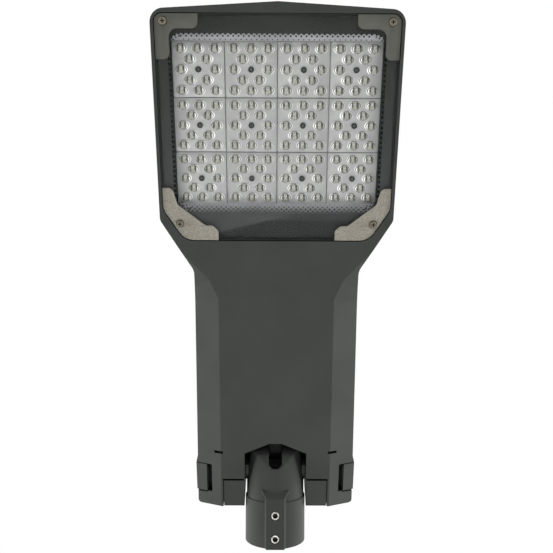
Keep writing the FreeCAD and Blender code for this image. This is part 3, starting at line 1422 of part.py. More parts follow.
def nodes():
    """Every sub-part by name."""
    parts = {
        "main_housing": main_housing(),
        "gear_cover": gear_cover(),
        "cover_gasket": cover_gasket(),
        "hinge_pin_left": hinge_pin(-HINGE_X),
        "hinge_pin_right": hinge_pin(HINGE_X),
        "glass": glass(),
        "glass_border": glass_border(),
        "glass_gasket": glass_gasket(),
        "bracket_screws": bracket_screws(),
        "led_board": led_board(),
        "led_chips": led_chips(),
        "lens_screws": lens_screws(),
        "spigot": spigot(),
        "set_screws": set_screws(),
        "spigot_yoke": spigot_yoke(),
        "yoke_screws": yoke_screws(),
        "pivot_bolt": pivot_bolt(),
        "pivot_nut": pivot_nut(),
        "pivot_washers": pivot_washers(),
        "gear_plate": gear_plate(),
        "gear_screws": gear_screws(),
        "led_driver": led_driver(),
        "surge_protector": surge_protector(),
        "terminal_block": terminal_block(),
        "terminal_screws": terminal_screws(),
        "cable_clamp": cable_clamp(),
        "clamp_screws": clamp_screws(),
        "cable_grommet": cable_grommet(),
        "breather_vent": breather_vent(),
        "lead_grommet": lead_grommet(),
    }
    pairs = {"latch": latch(), "latch_pin": latch_pin(),
             "front_bracket": front_bracket(), "rear_bracket": rear_bracket()}
    for name, right in pairs.items():
        parts[name + "_right"] = right
        parts[name + "_left"] = mirror_x(right)
    for number, (x, y) in enumerate(plate_centres(), 1):
        parts[f"lens_plate_{number}"] = lens_plate(x, y)
    return parts


def mouth_centre():
    """Centre of the pole socket's mouth, which becomes the origin."""
    tilt = math.radians(TILT_REST)
    return Vector(0, PIVOT_Y + MOUTH_REACH * math.cos(tilt), PIVOT_Z - MOUTH_REACH * math.sin(tilt))


def export_all():
    """Writes one file per sub-part, seen from the pole socket's mouth."""
    os.makedirs("parts", exist_ok=True)
    for name, shape in nodes().items():
        if isinstance(shape, list):
            shape = Part.makeCompound(shape)
        placed = place(shape, at=mouth_centre() * -1)
        placed.exportStep(f"parts/{name}.step")
        print(name, len(placed.Solids), round(placed.Volume, 1))


export_all()
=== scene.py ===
# %% [markdown]
# # LED street light head
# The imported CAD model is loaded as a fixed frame. Every piece below rides on one of its bodies,
# so the look can be judged in any pose. Sizes are in metres, in the frame of the CAD model.

# %% Load the frame
import math
import bmesh
import bpy
from mathutils import Matrix, Vector


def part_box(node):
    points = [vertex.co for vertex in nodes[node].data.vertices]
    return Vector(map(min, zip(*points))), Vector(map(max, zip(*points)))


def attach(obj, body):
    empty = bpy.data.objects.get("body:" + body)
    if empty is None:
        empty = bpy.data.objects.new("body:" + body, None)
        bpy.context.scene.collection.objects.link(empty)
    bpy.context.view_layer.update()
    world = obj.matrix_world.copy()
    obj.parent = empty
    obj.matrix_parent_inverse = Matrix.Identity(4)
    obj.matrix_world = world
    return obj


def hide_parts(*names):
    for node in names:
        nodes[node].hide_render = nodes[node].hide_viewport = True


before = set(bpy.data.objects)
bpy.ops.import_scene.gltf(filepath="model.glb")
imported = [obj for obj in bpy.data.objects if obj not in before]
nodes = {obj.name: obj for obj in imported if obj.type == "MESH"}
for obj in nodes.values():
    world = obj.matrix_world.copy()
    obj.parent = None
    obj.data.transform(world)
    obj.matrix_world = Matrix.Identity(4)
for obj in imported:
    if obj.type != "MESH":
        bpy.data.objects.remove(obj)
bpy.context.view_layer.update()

MM = 0.001

# %% [markdown]
# ## Camera
# The photograph looks up at the lamp from below and a little in front of it. The camera's place,
# turn and lens were fitted to the screws that show and to points at the rear of the casting.

# %% Camera
photo_camera = bpy.data.cameras.new("photo_camera")
photo_camera.sensor_width = 36.0
photo_camera.lens = 42.3
camera = bpy.data.objects.new("photo_camera", photo_camera)
camera.location = (-0.0036, -0.5413, -0.6344)
camera.rotation_euler = [math.radians(turn) for turn in (161.4179, 0.2248, -0.3080)]
bpy.context.collection.objects.link(camera)
bpy.context.scene.camera = camera
bpy.context.scene.view_settings.view_transform = "Standard"
print("camera stands", round(camera.location.length, 3), "m from the pole socket")

# %% [markdown]
# ## Node helpers
# A procedural material is a small graph. These helpers keep each graph short: one makes an empty
# material with its output, one places a noise, one remaps it, one mixes two colours by it.

# %% Node helpers
def new_finish(name):
    """Empty material with a Principled shader."""
    finish = bpy.data.materials.new(name)
    finish.use_nodes = True
    tree = finish.node_tree
    shader = tree.nodes["Principled BSDF"]
    return finish, tree, shader


def object_place(tree):
    """Place on the object, in metres."""
    return tree.nodes.new("ShaderNodeTexCoord").outputs["Object"]


def parts_of(tree, vector):
    """The X, Y and Z of a vector."""
    split = tree.nodes.new("ShaderNodeSeparateXYZ")
    tree.links.new(vector, split.inputs["Vector"])
    return split.outputs["X"], split.outputs["Y"], split.outputs["Z"]


def grain(tree, size, detail=3.0, rough=0.5):
    """Noise whose lumps are about `size` metres across."""
    noise = tree.nodes.new("ShaderNodeTexNoise")
    noise.inputs["Scale"].default_value = 1.0 / size
    noise.inputs["Detail"].default_value = detail
    noise.inputs["Roughness"].default_value = rough
    tree.links.new(object_place(tree), noise.inputs["Vector"])
    return noise.outputs["Fac"]


def remap(tree, value, low, high, to_low, to_high):
    """Value brought from one range to another."""
    node = tree.nodes.new("ShaderNodeMapRange")
    for socket, number in zip(("From Min", "From Max", "To Min", "To Max"),
                              (low, high, to_low, to_high)):
        node.inputs[socket].default_value = number
    tree.links.new(value, node.inputs["Value"])
    return node.outputs["Result"]


def ramp(tree, value, edges):
    """0 at the first of two edges, 1 at the second."""
    return remap(tree, value, *edges, 0.0, 1.0)


def blend_colours(tree, share, first, second):
    """Mix of two colours by a share from 0 to 1."""
    node = tree.nodes.new("ShaderNodeMix")
    node.data_type = "RGBA"
    tree.links.new(share, node.inputs["Factor"])
    for socket, colour in (("A", first), ("B", second)):
        target = [s for s in node.inputs if s.name == socket and s.type == "RGBA"][0]
        if isinstance(colour, tuple):
            target.default_value = (*colour, 1.0)
        else:
            tree.links.new(colour, target)
    return [s for s in node.outputs if s.type == "RGBA"][0]


def roughen(tree, shader, height, depth, edge=0.0):
    """Bump from a height, with edges rounded in shading by `edge` metres."""
    bump = tree.nodes.new("ShaderNodeBump")
    bump.inputs["Strength"].default_value = 1.0
    bump.inputs["Distance"].default_value = depth
    tree.links.new(height, bump.inputs["Height"])
    if edge:
        soft = tree.nodes.new("ShaderNodeBevel")
        soft.samples = 6
        soft.inputs["Radius"].default_value = edge
        tree.links.new(soft.outputs["Normal"], bump.inputs["Normal"])
    tree.links.new(bump.outputs["Normal"], shader.inputs["Normal"])


def tone(level):
    """Linear value of an 8-bit screen level."""
    share = level / 255.0
    return share / 12.92 if share <= 0.04045 else ((share + 0.055) / 1.055) ** 2.4


def colour(red, green, blue):
    """Linear colour of 8-bit screen levels."""
    return (tone(red), tone(green), tone(blue))


# %% Arithmetic on sockets
def calculate(tree, operation, *values):
    """One step of arithmetic on sockets and numbers."""
    node = tree.nodes.new("ShaderNodeMath")
    node.operation = operation
    for socket, value in zip(node.inputs, values):
        if isinstance(value, (int, float)):
            socket.default_value = value
        else:
            tree.links.new(value, socket)
    return node.outputs[0]


def opposite(tree, share):
    """What a share leaves of 1."""
    return calculate(tree, "SUBTRACT", 1.0, share)


def above(tree, value, edge, soft):
    """1 where the value is above an edge, 0 below it, with a soft step between."""
    node = tree.nodes.new("ShaderNodeMapRange")
    node.interpolation_type = "SMOOTHSTEP"
    node.inputs["From Min"].default_value = edge - soft
    node.inputs["From Max"].default_value = edge + soft
    tree.links.new(value, node.inputs["Value"])
    return node.outputs["Result"]


def below(tree, value, edge, soft):
    """The opposite of `above`."""
    return opposite(tree, above(tree, value, edge, soft))


def between(tree, value, middle, half, soft):
    """1 within half a width of a middle value."""
    off = calculate(tree, "ABSOLUTE", calculate(tree, "SUBTRACT", value, middle))
    return below(tree, off, half, soft)


def reach(tree, first, second):
    """Length of a vector from its two parts."""
    squares = [calculate(tree, "MULTIPLY", part, part) for part in (first, second)]
    return calculate(tree, "SQRT", calculate(tree, "ADD", *squares))


def spot(tree, across, along, middle, radii, soft=0.25):
    """1 inside an ellipse, 0 outside it, with a soft edge."""
    parts = [calculate(tree, "DIVIDE", calculate(tree, "SUBTRACT", value, at), radius)
             for value, at, radius in zip((across, along), middle, radii)]
    return below(tree, reach(tree, *parts), 1.0, soft)


def both(tree, *shares):
    """Product of several shares."""
    result = shares[0]
    for share in shares[1:]:
        result = calculate(tree, "MULTIPLY", result, share)
    return result


# %% [markdown]
# ## Finishes
# One recipe serves most surfaces: two near tones mixed by a broad noise, a roughness that drifts
# with it, and a fine noise as bump. What changes from piece to piece is the size of the grain.

# %% One recipe for plain surfaces
def surface(name, dark, light, patch, rough, metal, lump, depth, edge=0.0):
    """Finish of two near tones with a drifting roughness and a fine bump."""
    finish, tree, shader = new_finish(name)
    drift = grain(tree, patch)
    share = ramp(tree, drift, (0.35, 0.65))
    tree.links.new(blend_colours(tree, share, dark, light), shader.inputs["Base Color"])
    tree.links.new(remap(tree, drift, 0.3, 0.7, rough[0], rough[1]), shader.inputs["Roughness"])
    shader.inputs["Metallic"].default_value = metal
    roughen(tree, shader, grain(tree, lump, 2.0), depth, edge)
    return finish


# %% [markdown]
# ## Powder coat
# Both castings are powder coated in dark grey, the spigot in a darker one. Little light reaches
# their gaps and hollows, and the walls behind the glass lie in deep shade. An occlusion node finds
# what lies close by, and masks by place find the chamber of the LEDs and the pocket above the
# knuckle. All of these get painted shade: a darker tone and a duller shine.

# %% Powder coat
# Each pair says where a mask begins and where it is full.
HOLLOW_HEIGHT = (17.0 * MM, 17.6 * MM)
CHAMBER_REAR = (-377.0 * MM, -378.0 * MM)
CHAMBER_ROOF = (29.4 * MM, 29.2 * MM)
CHAMBER_SIDE = (107.0 * MM, 106.8 * MM)
POCKET_FRONT = (-125.0 * MM, -123.0 * MM)
POCKET_SIDE = (34.0 * MM, 33.0 * MM)
POCKET_ROOF = (60.0 * MM, 58.0 * MM)
# Painted shade: the near-black tone of gaps, of the chamber behind the glass and of the pocket.
PAINTED_SHADE_TONE = colour(8, 8, 8)


def powder_coat(name, tones, gloss, edge, distance, shade, pocket_share):
    """Grey coat with painted shade in gaps, behind the glass and, by a share, in the knuckle's
    pocket.
    """
    finish, tree, shader = new_finish(name)
    drift = grain(tree, 0.05)
    coat = blend_colours(tree, ramp(tree, drift, (0.35, 0.65)), *tones)
    near = tree.nodes.new("ShaderNodeAmbientOcclusion")
    near.samples = 8
    near.inputs["Distance"].default_value = distance
    light = ramp(tree, near.outputs["AO"], shade)
    x, y, z = parts_of(tree, object_place(tree))
    aside = calculate(tree, "ABSOLUTE", x)
    deep = ramp(tree, z, HOLLOW_HEIGHT)
    chamber = both(tree, deep, ramp(tree, y, CHAMBER_REAR), ramp(tree, z, CHAMBER_ROOF),
                   ramp(tree, aside, CHAMBER_SIDE))
    pocket = both(tree, deep, ramp(tree, y, POCKET_FRONT), ramp(tree, aside, POCKET_SIDE),
                  ramp(tree, z, POCKET_ROOF), pocket_share)
    # Painted shade where occlusion is high, in the chamber and in the pocket; open_air is what stays
    # lit.
    open_air = both(tree, light, opposite(tree, calculate(tree, "MAXIMUM", chamber, pocket)))
    tree.links.new(blend_colours(tree, open_air, PAINTED_SHADE_TONE, coat), shader.inputs["Base Color"])
    tree.links.new(remap(tree, open_air, 0.0, 1.0, 0.02, gloss), shader.inputs["Specular IOR Level"])
    tree.links.new(remap(tree, drift, 0.3, 0.7, 0.42, 0.55), shader.inputs["Roughness"])
    roughen(tree, shader, grain(tree, 0.0006, 2.0), 0.00004, edge)
    return finish


# %% Finishes by the record's slots
COAT = powder_coat("grey_powder_coat", (colour(54, 56, 54), colour(58, 60, 58)), 0.1,
                   0.8 * MM, 14 * MM, (0.4, 0.8), 1.0)
SPIGOT_COAT = powder_coat("grey_spigot_coat", (colour(35, 37, 35), colour(39, 41, 39)), 0.3,
                          2.5 * MM, 24 * MM, (0.12, 0.42), 0.0)
FINISHES = {
    "housing_coat": COAT,
    "seal_rubber": surface("seal_rubber", colour(22, 22, 23), colour(32, 32, 33), 0.02,
                           (0.6, 0.8), 0.0, 0.0005, 0.00003),
    "stainless": surface("stainless_steel", colour(150, 150, 148), colour(176, 175, 172), 0.004,
                         (0.25, 0.4), 1.0, 0.0004, 0.00001),
    "brass_screws": surface("terminal_brass", colour(170, 140, 80), colour(196, 166, 100), 0.004,
                            (0.25, 0.4), 1.0, 0.0004, 0.00001),
    "led_yellow": surface("phosphor_yellow", colour(222, 190, 70), colour(236, 208, 96), 0.002,
                          (0.4, 0.5), 0.0, 0.0003, 0.00001),
    "sheet_zinc": surface("zinc_sheet", colour(140, 142, 146), colour(172, 174, 178), 0.008,
                          (0.35, 0.55), 1.0, 0.0008, 0.00001),
    "driver_case": surface("driver_case", colour(196, 197, 198), colour(208, 209, 210), 0.03,
                           (0.4, 0.5), 0.2, 0.0006, 0.00002),
    "surge_case": surface("surge_case", colour(190, 60, 44), colour(206, 72, 52), 0.02,
                          (0.4, 0.5), 0.0, 0.0006, 0.00002),
    "terminal_plastic": surface("terminal_plastic", colour(214, 212, 204), colour(226, 224, 216),
                                0.02, (0.4, 0.5), 0.0, 0.0005, 0.00001),
    "black_plastic": surface("black_plastic", colour(26, 26, 27), colour(36, 36, 37), 0.02,
                             (0.45, 0.6), 0.0, 0.0006, 0.00002),
}
print("finishes:", len(FINISHES))

# %% [markdown]
# ## Bracket finishes
# All four brackets are one metal, painted in two tones for how the light falls on them: the nose
# brackets darker and olive as painted shade, the rear ones paler grey with a fine speckle as a
# painted reflection of the bright room. Both are stamped sheet, so a fine directionless grain suits
# them better than brush lines.

# %% Bracket finishes
# Painted shade on the nose brackets and painted light on the rear ones: one metal in two tones.
SHADED_NOSE_METAL = surface("nose_bracket_metal", colour(70, 70, 64), colour(80, 80, 73), 0.02,
                     (0.35, 0.45), 0.3, 0.0004, 0.00001, 0.0003)
LIT_REAR_METAL = surface("rear_bracket_metal", colour(112, 108, 98), colour(144, 140, 129), 0.0013,
                     (0.4, 0.55), 0.3, 0.0004, 0.00001, 0.0003)


# %% [markdown]
# ## Clear glass
# The pane is thin and flat, so the bending of light in it can't be seen. A nearly transparent
# surface with a glossy face gives the same picture as real glass, with far less noise. The low
# specular level stands for the coating that such panes have against reflections.

# %% Clear glass
def clear_pane():
    """Glass pane: see-through, with weak reflections and a faint green body."""
    finish, tree, shader = new_finish("clear_glass")
    tint = ramp(tree, grain(tree, 0.08), (0.3, 0.7))
    tree.links.new(blend_colours(tree, tint, (0.30, 0.36, 0.34), (0.34, 0.38, 0.36)),
                   shader.inputs["Base Color"])
    shader.inputs["Roughness"].default_value = 0.02
    shader.inputs["Alpha"].default_value = 0.015
    shader.inputs["Specular IOR Level"].default_value = 0.04
    return finish


FINISHES["clear_glass"] = clear_pane()


# %% [markdown]
# ## Lens plastic
# Each lens is a clear saddle-shaped dome over its chip. What it shows from below is painted on it:
# its two ends as white crescents of painted highlight, brightest on the side that faces the middle of
# the lamp, the walls of the hollow over the chip as two dark streaks of painted shade, and the chip
# as a pale ring between them. At this size real refraction only gives noise, so the pattern is
# painted from a UV map that holds the place on the lens: U across the lamp, V towards the pole, both
# 1 at the lens's rim.

# %% Lens plastic
def lens_plastic():
    """Moulded lens plate, with the highlights and shade each lens shows painted on its dome."""
    finish, tree, shader = new_finish("lens_acrylic")
    uv = tree.nodes.new("ShaderNodeUVMap")
    uv.uv_map = "lens"
    sway = remap(tree, grain(tree, 0.016, 1.0), 0.3, 0.7, -0.07, 0.07)
    straight, along, _ = parts_of(tree, uv.outputs["UV"])
    across = calculate(tree, "ADD", straight, sway)
    aside = calculate(tree, "ABSOLUTE", across)
    out = reach(tree, straight, along)
    on_lens = below(tree, out, 1.05, 0.02)
    # Painted highlight: the end of each lens that faces the middle of the lamp is painted the
    # brighter one.
    to_right = above(tree, parts_of(tree, object_place(tree))[0], -0.03, 0.07)
    left_end = below(tree, across, 0.0, 0.05)
    facing = calculate(tree, "ABSOLUTE",
                       calculate(tree, "SUBTRACT", left_end, opposite(tree, to_right)))
    # Painted highlights: two white crescents at each end, with a grey line between them.
    rim = both(tree, above(tree, out, 0.88, 0.03), above(tree, aside, 0.45, 0.1), on_lens)
    gap_line = both(tree, between(tree, out, 0.78, 0.05, 0.04), above(tree, aside, 0.35, 0.1))
    inner_rim = both(tree, between(tree, out, 0.67, 0.05, 0.03), above(tree, aside, 0.5, 0.08),
                     remap(tree, facing, 0.0, 1.0, 0.35, 1.0))
    # Painted shade: two dark streaks that spread apart along V, with darker lobes beside them.
    bend = calculate(tree, "MULTIPLY", calculate(tree, "MAXIMUM", along, 0.0), 0.24)
    line = calculate(tree, "SUBTRACT", aside, calculate(tree, "ADD", bend, 0.38))
    width = calculate(tree, "MULTIPLY_ADD", along, 0.05, 0.15)
    past_edge = calculate(tree, "SUBTRACT", calculate(tree, "ABSOLUTE", line), width)
    streak = both(tree, below(tree, past_edge, 0.0, 0.045), between(tree, along, 0.03, 0.72, 0.07))
    shade_lobes = calculate(tree, "MAXIMUM", spot(tree, across, along, (0.42, -0.42), (0.10, 0.26)),
                     spot(tree, aside, along, (0.50, 0.62), (0.13, 0.14)))
    # Painted refraction of the chip: a pale ring of painted light, a grey wedge beside it and a small
    # dark speck of painted shade at the rim.
    chip = (-0.03, -0.5)
    ring = both(tree, spot(tree, across, along, chip, (0.24, 0.34)),
                opposite(tree, spot(tree, across, along, chip, (0.13, 0.17))))
    wedge = spot(tree, across, along, (0.0, 0.3), (0.15, 0.45))
    speck = spot(tree, across, along, (0.0, 0.86), (0.09, 0.11))
    # Everything is laid over the plate's own tone, from the broadest mark to the sharpest.
    mottle = ramp(tree, grain(tree, 0.0016, 3.0), (0.35, 0.65))
    patch = ramp(tree, grain(tree, 0.02, 2.0), (0.35, 0.65))
    plate = blend_colours(tree, patch, colour(172, 171, 173), colour(180, 182, 178))
    dome = blend_colours(tree, mottle, colour(124, 124, 116), colour(184, 184, 176))
    dark = blend_colours(tree, mottle, colour(50, 51, 42), colour(110, 111, 98))
    shade = blend_colours(tree, on_lens, plate, dome)
    shade = blend_colours(tree, wedge, shade, colour(160, 160, 150))
    shade = blend_colours(tree, ring, shade, colour(204, 204, 196))
    shade = blend_colours(tree, streak, shade, dark)
    shade = blend_colours(tree, shade_lobes, shade, colour(52, 53, 46))
    shade = blend_colours(tree, speck, shade, colour(96, 96, 84))
    shade = blend_colours(tree, gap_line, shade, colour(120, 120, 114))
    shade = blend_colours(tree, inner_rim, shade, colour(255, 255, 255))
    shade = blend_colours(tree, rim, shade, colour(255, 255, 255))
    # Painted glow: the white crescents also emit a little light, as a painted highlight.
    painted_glow = calculate(tree, "MULTIPLY", calculate(tree, "MAXIMUM", rim, inner_rim), 0.12)
    tree.links.new(painted_glow, shader.inputs["Emission Strength"])
    shader.inputs["Emission Color"].default_value = (1.0, 1.0, 1.0, 1.0)
    tree.links.new(shade, shader.inputs["Base Color"])
    tree.links.new(remap(tree, mottle, 0.0, 1.0, 0.10, 0.22), shader.inputs["Roughness"])
    return finish


FINISHES["lens_plastic"] = lens_plastic()


# %% [markdown]
# ## Printed enamel
# The border of the glass is black enamel, burnt in from inside. It is painted dark grey, as it looks
# through the pane, and paler towards the pole, as a painted reflection of the bright side of the
# room.

# %% Enamel
def border_enamel():
    """Dark enamel, painted paler from the nose to the rear as a painted reflection."""
    finish, tree, shader = new_finish("black_enamel")
    low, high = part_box("glass")
    # Painted reflection: the enamel turns paler towards the rear.
    share = ramp(tree, parts_of(tree, object_place(tree))[1], (low[1], high[1]))
    drift = remap(tree, grain(tree, 0.03), 0.3, 0.7, -0.05, 0.05)
    share = calculate(tree, "ADD", share, drift)
    tree.links.new(blend_colours(tree, share, colour(46, 47, 45), colour(72, 74, 73)),
                   shader.inputs["Base Color"])
    shader.inputs["Roughness"].default_value = 0.6
    shader.inputs["Specular IOR Level"].default_value = 0.1
    return finish


FINISHES["enamel"] = border_enamel()


# %% [markdown]
# ## LED board
# The board has a white solder mask. The plates cover it but for thin seams, painted grey as their
# shade, and at both sides of the plates it is painted black as the shade of the narrow gap there.

# %% LED board
def board_mask():
    """White solder mask, painted grey in shade below the plates and black in shade at the sides."""
    finish, tree, shader = new_finish("solder_mask_white")
    x, y, _ = parts_of(tree, object_place(tree))
    edge = 0.1 * MM
    one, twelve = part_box("lens_plate_1"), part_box("lens_plate_12")
    first = min(one[0][1], twelve[0][1])
    last = max(one[1][1], twelve[1][1])
    widest = max(abs(one[0][0]), abs(twelve[1][0]))
    below_plates = between(tree, y, (first + last) / 2, (last - first) / 2, edge)
    painted_side_shade = above(tree, calculate(tree, "ABSOLUTE", x), widest + edge, edge)
    cloud = ramp(tree, grain(tree, 0.03), (0.35, 0.65))
    white = blend_colours(tree, cloud, colour(178, 178, 182), colour(198, 198, 202))
    # Painted shade: grey in the seams below the plates, black in the narrow gap at the sides.
    shade = blend_colours(tree, below_plates, white, colour(120, 122, 116))
    tree.links.new(blend_colours(tree, painted_side_shade, shade, colour(10, 10, 10)), shader.inputs["Base Color"])
    tree.links.new(remap(tree, cloud, 0.0, 1.0, 0.35, 0.5), shader.inputs["Roughness"])
    return finish


FINISHES["board_white"] = board_mask()

# %% Put the finishes on the CAD nodes
# The CAD slot gets the nose brackets' tone of painted shade.
FINISHES["bracket_metal"] = SHADED_NOSE_METAL
bare = []
for name, node in nodes.items():
    for place in node.material_slots:
        slot_name = place.material.name.split(".")[0] if place.material else ""
        found = [key for key in FINISHES if slot_name.endswith(key)]
        if found:
            place.material = FINISHES[found[0]]
        else:
            bare.append((name, slot_name))
for place in nodes["spigot"].material_slots:
    place.material = SPIGOT_COAT
print("slots without a finish:", bare)

# %% [markdown]
# ## Where the CAD solids are
# A node of fasteners holds several separate solids. Their boxes tell where each detailed screw
# goes, so nothing is measured twice. Solids are found by walking from point to point along edges.

# %% Solids of a node
def solid_boxes(node):
    """Lowest and highest corner of each separate solid of a CAD node."""
    shape = bmesh.new()
    shape.from_mesh(nodes[node].data)
    bmesh.ops.remove_doubles(shape, verts=shape.verts, dist=1e-7)
    waiting = set(shape.verts)
    found = []
    while waiting:
        island = [waiting.pop()]
        for vert in island:
            for edge in vert.link_edges:
                other = edge.other_vert(vert)
                if other in waiting:
                    waiting.remove(other)
                    island.append(other)
        low = Vector([min(v.co[i] for v in island) for i in range(3)])
        high = Vector([max(v.co[i] for v in island) for i in range(3)])
        found.append((low, high))
    shape.free()
    return sorted(found, key=lambda pair: tuple(pair[0]))


for name in ("bracket_screws", "lens_screws", "set_screws", "yoke_screws", "gear_screws"):
    print(name, len(solid_boxes(name)))


# %% Finish a piece
def make_piece(name, shape, finishes, body, replaced=(), sharp=35.0):
    """Object from a bmesh, shaded smooth up to an angle, riding on a body."""
    mesh = bpy.data.meshes.new(name)
    shape.to_mesh(mesh)
    shape.free()
    for finish in finishes:
        mesh.materials.append(finish)
    mesh.shade_smooth()
    mesh.set_sharp_from_angle(angle=math.radians(sharp))
    thing = bpy.data.objects.new(name, mesh)
    bpy.context.collection.objects.link(thing)
    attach(thing, body)
    if replaced:
        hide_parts(*replaced)
    print(name, len(mesh.polygons), "faces")


# %% [markdown]
# ## Lens plates
# A lens plate is one moulding: a thin flange with twelve domes in rows of 3, 2, 2, 2 and 3. The
# screw in its middle covers its hole, which is left out here. One plate is modelled at the origin,
# and its copies are moved to the plates' places. A dome is the lower half of a sphere, stretched
# and dented across its middle.

# %% One dome
LENS_LENGTH = 12.9 * MM
LENS_WIDTH = 9.3 * MM
LENS_STEP_X = 16.5 * MM
LENS_STEP_Y = 9.7 * MM
FLANGE = 1.5 * MM
FLANGE_CORNER = 1.5 * MM
FLANGE_CHAMFER = 0.25 * MM
PLATE_GAP = 0.15 * MM
DENT = 0.22  # of the dome's height
DENT_REACH = 0.30  # of half the dome's length
OFF_LENS = (3.0, 3.0)  # UV place of what belongs to no lens
LENS_ROWS = ((-2, (-1, 0, 1)), (-1, (-0.5, 0.5)), (0, (-1, 1)), (1, (-0.5, 0.5)), (2, (-1, 0, 1)))


def add_dome(shape, uv, x, y, height):
    """One saddle-shaped lens hanging from the flange's lower face."""
    made = bmesh.ops.create_uvsphere(shape, u_segments=16, v_segments=8, radius=1.0)
    upper = [vert for vert in made["verts"] if vert.co.z > 1e-4]
    keep = [vert for vert in made["verts"] if vert.co.z <= 1e-4]
    bmesh.ops.delete(shape, geom=upper, context="VERTS")
    faces = {face for vert in keep for face in vert.link_faces}
    for face in faces:
        for corner in face.loops:
            corner[uv].uv = (corner.vert.co.x, corner.vert.co.y)
    for vert in keep:
        dent = DENT * math.exp(-(vert.co.x / DENT_REACH) ** 2)
        vert.co.z *= 1.0 - dent
    bmesh.ops.scale(shape, vec=(LENS_LENGTH / 2, LENS_WIDTH / 2, height), verts=keep)
    bmesh.ops.translate(shape, vec=(x, y, 0.0), verts=keep)


# %% One plate
def plate_shape(width, length, height):
    """Flange with rounded corners and twelve domes, its lower face at Z = 0."""
    shape = bmesh.new()
    uv = shape.loops.layers.uv.new("lens")
    bmesh.ops.create_cube(shape, size=1.0)
    bmesh.ops.scale(shape, vec=(width, length, FLANGE), verts=shape.verts)
    bmesh.ops.translate(shape, vec=(0.0, 0.0, FLANGE / 2), verts=shape.verts)
    upright = [edge for edge in shape.edges
               if abs(edge.verts[0].co.z - edge.verts[1].co.z) > FLANGE / 2]
    bmesh.ops.bevel(shape, geom=upright, offset=FLANGE_CORNER, segments=3, profile=0.5,
                    affect="EDGES", material=-1)
    lower = [edge for edge in shape.edges if all(vert.co.z < 1e-6 for vert in edge.verts)]
    bmesh.ops.bevel(shape, geom=lower, offset=FLANGE_CHAMFER, segments=1, profile=0.5,
                    affect="EDGES", material=-1)
    for face in shape.faces:
        for corner in face.loops:
            corner[uv].uv = OFF_LENS
    for row, steps in LENS_ROWS:
        for step in steps:
            add_dome(shape, uv, step * LENS_STEP_X, row * LENS_STEP_Y, height)
    return shape


low, high = (Vector(corner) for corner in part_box("lens_plate_1"))
plate_size = high - low
dome_height = plate_size.z - FLANGE
template = plate_shape(plate_size.x - 2 * PLATE_GAP, plate_size.y - 2 * PLATE_GAP, dome_height)
print("plate in mm:", [round(v / MM, 2) for v in plate_size], "dome", round(dome_height / MM, 2))

# %% Twelve plates
for number in range(1, 13):
    node = f"lens_plate_{number}"
    low, high = (Vector(corner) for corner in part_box(node))
    shape = template.copy()
    bmesh.ops.translate(shape, vec=((low.x + high.x) / 2, (low.y + high.y) / 2,
                                    low.z + dome_height), verts=shape.verts)
    make_piece(f"moulded_plate_{number}", shape, [FINISHES["lens_plastic"]], "housing", (node,), 60.0)
template.free()

# %% [markdown]
# ## Screws
# All screws share one builder: a round head with a softened rim, a recess for the driver and a
# plain shank. The recess starts as a circle inset in the head's face; its points are moved onto a
# hexagon or a cross and the face is pushed in.

# %% Recess outlines
CROSS_ARM = 0.26  # half an arm's width, as a share of the arm's length


def hexagon_reach(turn, size):
    """Distance from the middle to a hexagon's edge in one direction."""
    sixth = math.pi / 3
    return size * math.cos(sixth / 2) / math.cos(turn % sixth - sixth / 2)


def cross_reach(turn, size):
    """Distance from the middle to a cross's edge in one direction."""
    quarter = math.pi / 2
    beside = abs((turn + quarter / 2) % quarter - quarter / 2)
    arm = CROSS_ARM * size
    if math.tan(beside) * size <= arm:
        return size / math.cos(beside)
    return arm / math.sin(beside)


# %% Screw builder
SIDES = 24
RIM_WIDTH = 0.12  # of the head's radius
RIM_DROP = 0.06


def round_block(shape, radius, height, base=0.0):
    """Upright cylinder; its upper cap is given back."""
    made = bmesh.ops.create_cone(shape, cap_ends=True, segments=SIDES, radius1=radius, radius2=radius,
                                 depth=height, matrix=Matrix.Translation((0, 0, base + height / 2)))
    faces = {face for vert in made["verts"] for face in vert.link_faces}
    return max(faces, key=lambda face: face.calc_center_median().z)


def add_screw(shape, seat, axis, head, shank, recess, outline, shade_ring=0.0):
    """Adds a screw; head, shank and recess are (radius, length), slot 1 is for what lies in shade."""
    before = set(shape.verts)
    radius, height = head
    # Painted shade: a dark ring under the head stands for the shadow of the countersink.
    if shade_ring:
        for face in round_block(shape, shade_ring, height * 0.5).verts[0].link_faces:
            face.material_index = 1
    cap = round_block(shape, radius, height)
    rim = bmesh.ops.inset_individual(shape, faces=[cap], thickness=radius * RIM_WIDTH)["faces"]
    bmesh.ops.translate(shape, vec=(0, 0, -radius * RIM_DROP),
                        verts=list({vert for face in rim for vert in face.verts} - set(cap.verts)))
    room = radius * (1 - RIM_WIDTH) - recess[0]
    bmesh.ops.inset_individual(shape, faces=[cap], thickness=room * 0.5)
    for vert in cap.verts:
        angle = math.atan2(vert.co.y, vert.co.x)
        size = outline(angle, recess[0])
        vert.co.x = size * math.cos(angle)
        vert.co.y = size * math.sin(angle)
    floor_face = bmesh.ops.extrude_discrete_faces(shape, faces=[cap])["faces"][0]
    bmesh.ops.translate(shape, vec=(0, 0, -recess[1]), verts=floor_face.verts)
    for vert in floor_face.verts:
        for face in vert.link_faces:
            face.material_index = 1
    if shank[1]:
        round_block(shape, shank[0], shank[1], -shank[1])
    fresh = [vert for vert in shape.verts if vert not in before]
    turn = Vector((0, 0, 1)).rotation_difference(Vector(axis)).to_matrix().to_4x4()
    bmesh.ops.transform(shape, matrix=Matrix.Translation(seat) @ turn, verts=fresh)


